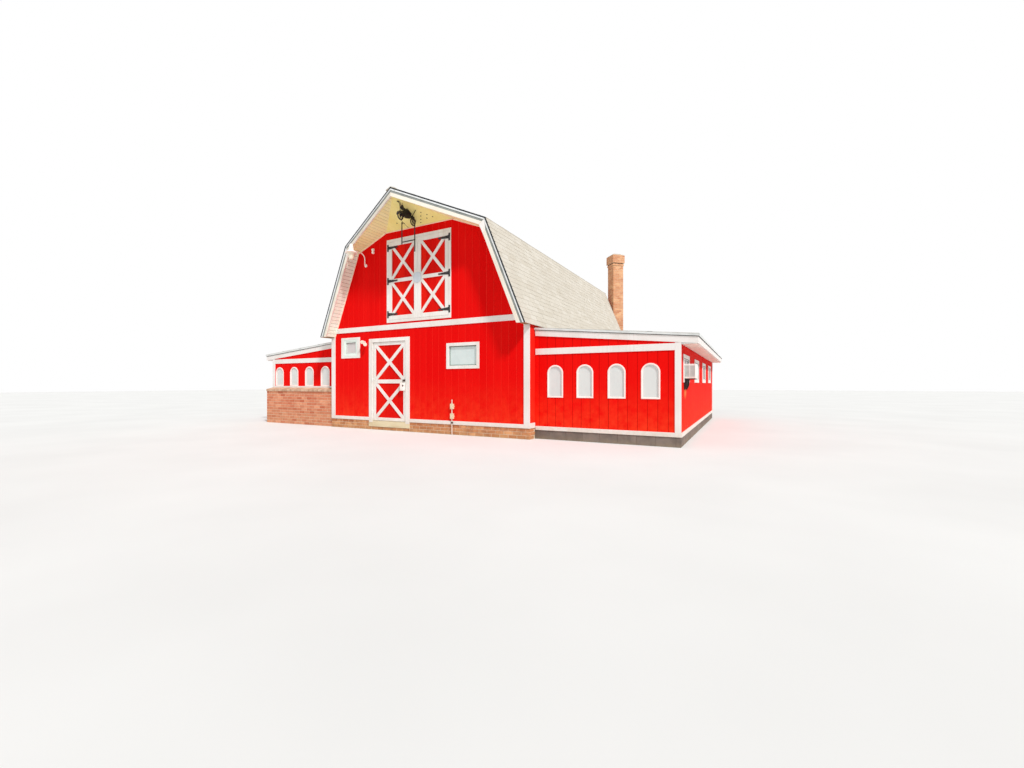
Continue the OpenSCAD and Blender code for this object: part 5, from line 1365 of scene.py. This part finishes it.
def makeConduit():
    x, y, top = conduit["x"], conduit["y"], conduit["top"]
    collar = [(0, 0), (0.019, 0), (0.019, 0.014), (0, 0.014)]
    screw = [(0, 0), (0.004, 0), (0.003, 0.003), (0, 0.0035)]
    cap = [(0, 0), (0.017, 0), (0.018, 0.012), (0.011, 0.022), (0, 0.024)]
    pipe = [tube([(x, y, z) for z in np.linspace(0.0, top, 9)], conduit["radius"], 16)]
    boxes, dark = [], []
    for z in conduit["boxes"]:
        boxes += [blocks((x - 0.044, z, 0.0), (x + 0.044, z + 0.13, 0.046), frontWall),
                  blocks((x - 0.048, z - 0.002, 0.045), (x + 0.048, z + 0.132, 0.055), frontWall),
                  blocks([(x - 0.058, z + 0.055, 0.0), (x + 0.04, z + 0.055, 0.0)],
                         [(x - 0.04, z + 0.075, 0.01), (x + 0.058, z + 0.075, 0.01)], frontWall)]
        pipe += [revolve(collar, (x, y, at), steps=8) for at in (z - 0.012, z + 0.128)]
        dark += [revolve(screw, (x + dx, -4.555, z + dz), (0, -1, 0), 10)
                 for dx, dz in ((0, 0.018), (0, 0.112), (-0.034, 0.065), (0.034, 0.065))]
    pipe.append(revolve(cap, (x, y, top - 0.004), steps=20))
    dark.append(blocks((x - 0.024, 0.282, 0.02), (x + 0.024, 0.322, 0.0515), frontWall))
    makePiece("outletBoxes", boxes, "boxCream", replaces="conduit_boxes", bevel=0.003)
    makePiece("outletPipe", pipe, "pipeRose", smooth=40)
    makePiece("pipeClip", dark, "fadedIronAndShade", bevel=0.001)


makeConduit()

# hood ornament: a plain motorbike cut from iron; wheels as (y, z, radius), plates as an outline in
# Y and Z with half a thickness, rods as (side's share, y, z) with a radius and the curve's steps
bike = {
    "x": 0.1, "rear": (-5.272, 5.4, 0.104), "front": (-4.812, 5.394, 0.098), "half": 0.017,
    "engine": [(-5.13, 5.44), (-5.04, 5.415), (-4.93, 5.44), (-4.88, 5.48), (-4.9, 5.575),
               (-5.000, 5.62), (-5.11, 5.62), (-5.18, 5.54)],
    "tank": [(-5.095, 5.6), (-5.000, 5.58), (-4.9, 5.552), (-4.872, 5.556), (-4.892, 5.584),
             (-4.985, 5.628), (-5.06, 5.65)],
    "seat": [(-5.262, 5.6), (-5.17, 5.575), (-5.08, 5.596), (-5.09, 5.628), (-5.16, 5.634),
             (-5.182, 5.668), (-5.204, 5.695), (-5.226, 5.66), (-5.262, 5.632)],
    "rods": [
        ([(1, -5.262, 5.52), (1, -5.262, 5.6), (1, -5.276, 5.68), (1, -5.304, 5.716), (1, -5.344, 5.724),
          (1, -5.372, 5.722)], 0.0085, 5),
        ([(1, -4.812, 5.392), (1, -4.818, 5.46), (1, -4.828, 5.51), (1, -4.838, 5.548)], 0.008, None),
        ([(0.6, -4.842, 5.54), (3.0, -4.862, 5.558), (8.0, -4.91, 5.588), (12.4, -4.952, 5.61)], 0.0085, 5),
        ([(1.4, -4.93, 5.48), (1.4, -4.99, 5.44), (1.4, -5.1, 5.42), (1.4, -5.23, 5.446),
          (1.4, -5.33, 5.462)], 0.008, 5)],
}
hanger = {"y": -4.7, "bars": ((-0.367, 4.922), (0.065, 4.678)), "rung": (-0.383, 0.081, 4.968, 5.000)}


def makeOrnament():
    where = axes((bike["x"], 0, 0), (0, 1, 0), (0, 0, 1))
    plate = lambda outline, half: prism(outline, -half, half, where)
    rod = lambda x, points: [(x * k + bike["x"], y, z) for k, y, z in points]
    tyre = [(0, -0.007), (0, 0.007), (0.3, 0.011), (0.7, 0.011), (1, 0.006), (1, -0.006), (0.7, -0.011),
            (0.3, -0.011)]
    parts = []
    for y, z, r in (bike["rear"], bike["front"]):
        parts += [band(circleLine(y, z, r, 36), circleLine(y, z, r * 0.7, 36), tyre, where),
                  plate(circleLine(y, z, r * 0.2, 20), 0.013)]
        for turn in np.arange(0, math.pi, math.pi / 6):
            c, d = np.array([y, z]), np.array([math.cos(turn), math.sin(turn)])
            s, d = np.array([-math.sin(turn), math.cos(turn)]) * 0.0028, d * r * 0.85
            parts.append(plate([c - d - s, c + d - s, c + d + s, c - d + s], 0.004))
    # mudguards: arcs a little outside the tyres
    for (y, z, r), a0, a1 in ((bike["rear"], 55, 185), (bike["front"], 15, 140)):
        a = np.radians(np.linspace(a0, a1, 14))
        line = [columns(y + k * r * np.cos(a), z + k * r * np.sin(a)) for k in (1.06, 1.17)]
        parts.append(plate(np.concatenate([line[1], line[0][::-1]]), 0.014))
    k = np.arange(6)      # cooling fins on the cylinders
    z = 5.51 + 0.016 * k
    fins = columns(-5.075 + 0.004 * k, z, -0.027), columns(-4.915 - 0.006 * k, z + 0.007, 0.027)
    parts += [plate(bike["engine"], 0.02), blocks(*fins, where),
              plate(bike["tank"], 0.024), plate(bike["seat"], 0.021)]
    for x in (-bike["half"], bike["half"]):
        for points, radius, steps in bike["rods"]:
            path = rod(x, points)
            parts.append(tube(curve(path, steps) if steps else path, radius, 10))
    lampShell = [(0, -0.034), (0.018, -0.026), (0.025, 0.0), (0.026, 0.018), (0.02, 0.022), (0, 0.023)]
    parts += [tube(curve(rod(0, [(0, -5.372, 5.722), (0, -5.382, 5.722)]), 3), 0.012, 10),
              revolve(lampShell, (bike["x"], -4.8, 5.512), (0, 1, 0), 20),
              plate([(-4.885, 5.47), (-4.77, 5.462), (-4.764, 5.504), (-4.85, 5.548)], 0.018),
              plate([(-5.275, 5.392), (-5.13, 5.425), (-5.11, 5.52), (-5.19, 5.56), (-5.262, 5.5)], 0.013)]
    parts += [tube([(bike["x"], y, z) for z in np.linspace(5.53, hoodZ(y + 0.005) - 0.001, 4)], 0.005, 10)
              for y in (-5.208, -4.877)]
    makePiece("hoodOrnament", parts, "blackIron", replaces="hood_ornament")

    # two hanging bars with a rung between them, flanged to the plywood, and a stay to the gable
    plane, top, bars = facing("front", hanger["y"]), hoodZ(hanger["y"] + 0.004) - 0.001, []
    for x, low in hanger["bars"]:
        bars += [blocks((x - 0.016, low, -0.004), (x + 0.016, top, 0.004), plane),
                 blocks((x - 0.026, top - 0.026, -0.026), (x + 0.026, top - 0.018, 0.0), plane)]
    x0, x1, z0, z1 = hanger["rung"]
    bars.append(blocks((x0, z0, -0.0075), (x1, z1, -0.0042), plane))
    makePiece("hangingFrame", bars, "blackIron", bevel=0.0012)
    stay = np.linspace((0.1, -5.238, 5.296), (-0.318, -4.516, 5.412), 5)
    makePiece("ornamentStay", [tube(stay, 0.005, 8)], "fadedIronAndShade")


makeOrnament()

# floor, backdrop and two suns: aim, strength and angle
studio = {"floor": ((226, 226, 224), (232, 232, 230)), "reach": 90.0, "soft": 0.47,
          "suns": [("keySun", (-0.63, 0.34, -0.7), 2.9, 6), ("fillSun", (0.5, 0.82, -0.35), 0.35, 45)]}


def makeStage():
    mat = bpy.data.materials.new("studioFloor")
    mat.use_nodes = True
    tree = mat.node_tree
    noise = noiseOf(tree, add(tree, "ShaderNodeTexCoord")["Object"], (1, 1, 1), 0.4)
    paint = mixColour(tree, ramp(tree, noise, 0.3, 0.7), *map(colour, studio["floor"]))
    plug(tree, tree.nodes["Principled BSDF"].inputs, {"Base Color": paint, "Roughness": 0.9})
    mesh = bpy.data.meshes.new("studioFloor")
    r = studio["reach"]
    mesh.from_pydata([(-r, -r, 0), (r, -r, 0), (r, r, 0), (-r, r, 0)], [], [(0, 1, 2, 3)])
    mesh.materials.append(mat)
    addObject("studioFloor", mesh)

    # the camera and clear reflections see white, and everything else a soft sky
    world = bpy.data.worlds.new("studio")
    bpy.context.scene.world = world
    world.use_nodes = True
    tree = world.node_tree
    tree.nodes.clear()
    path = add(tree, "ShaderNodeLightPath")
    seen = maths(tree, "MAXIMUM", maths(tree, "MAXIMUM", path["Is Camera Ray"], path["Is Glossy Ray"]),
                 path["Is Transmission Ray"])
    soft, white = (add(tree, "ShaderNodeBackground", {"Color": (1, 1, 1, 1), "Strength": s})[0]
                   for s in (studio["soft"], 1.0))
    mix = add(tree, "ShaderNodeMixShader", {0: seen, 1: soft, 2: white})[0]
    add(tree, "ShaderNodeOutputWorld", {0: mix})

    for name, aim, strength, wide in studio["suns"]:
        data = bpy.data.lights.new(name, "SUN")
        data.energy, data.angle = strength, math.radians(wide)
        sun = addObject(name, data)
        sun.rotation_euler = Vector(aim).to_track_quat("-Z", "Y").to_euler()
    bpy.context.scene.view_settings.view_transform = "Standard"
    print("floor and lights placed")


makeStage()
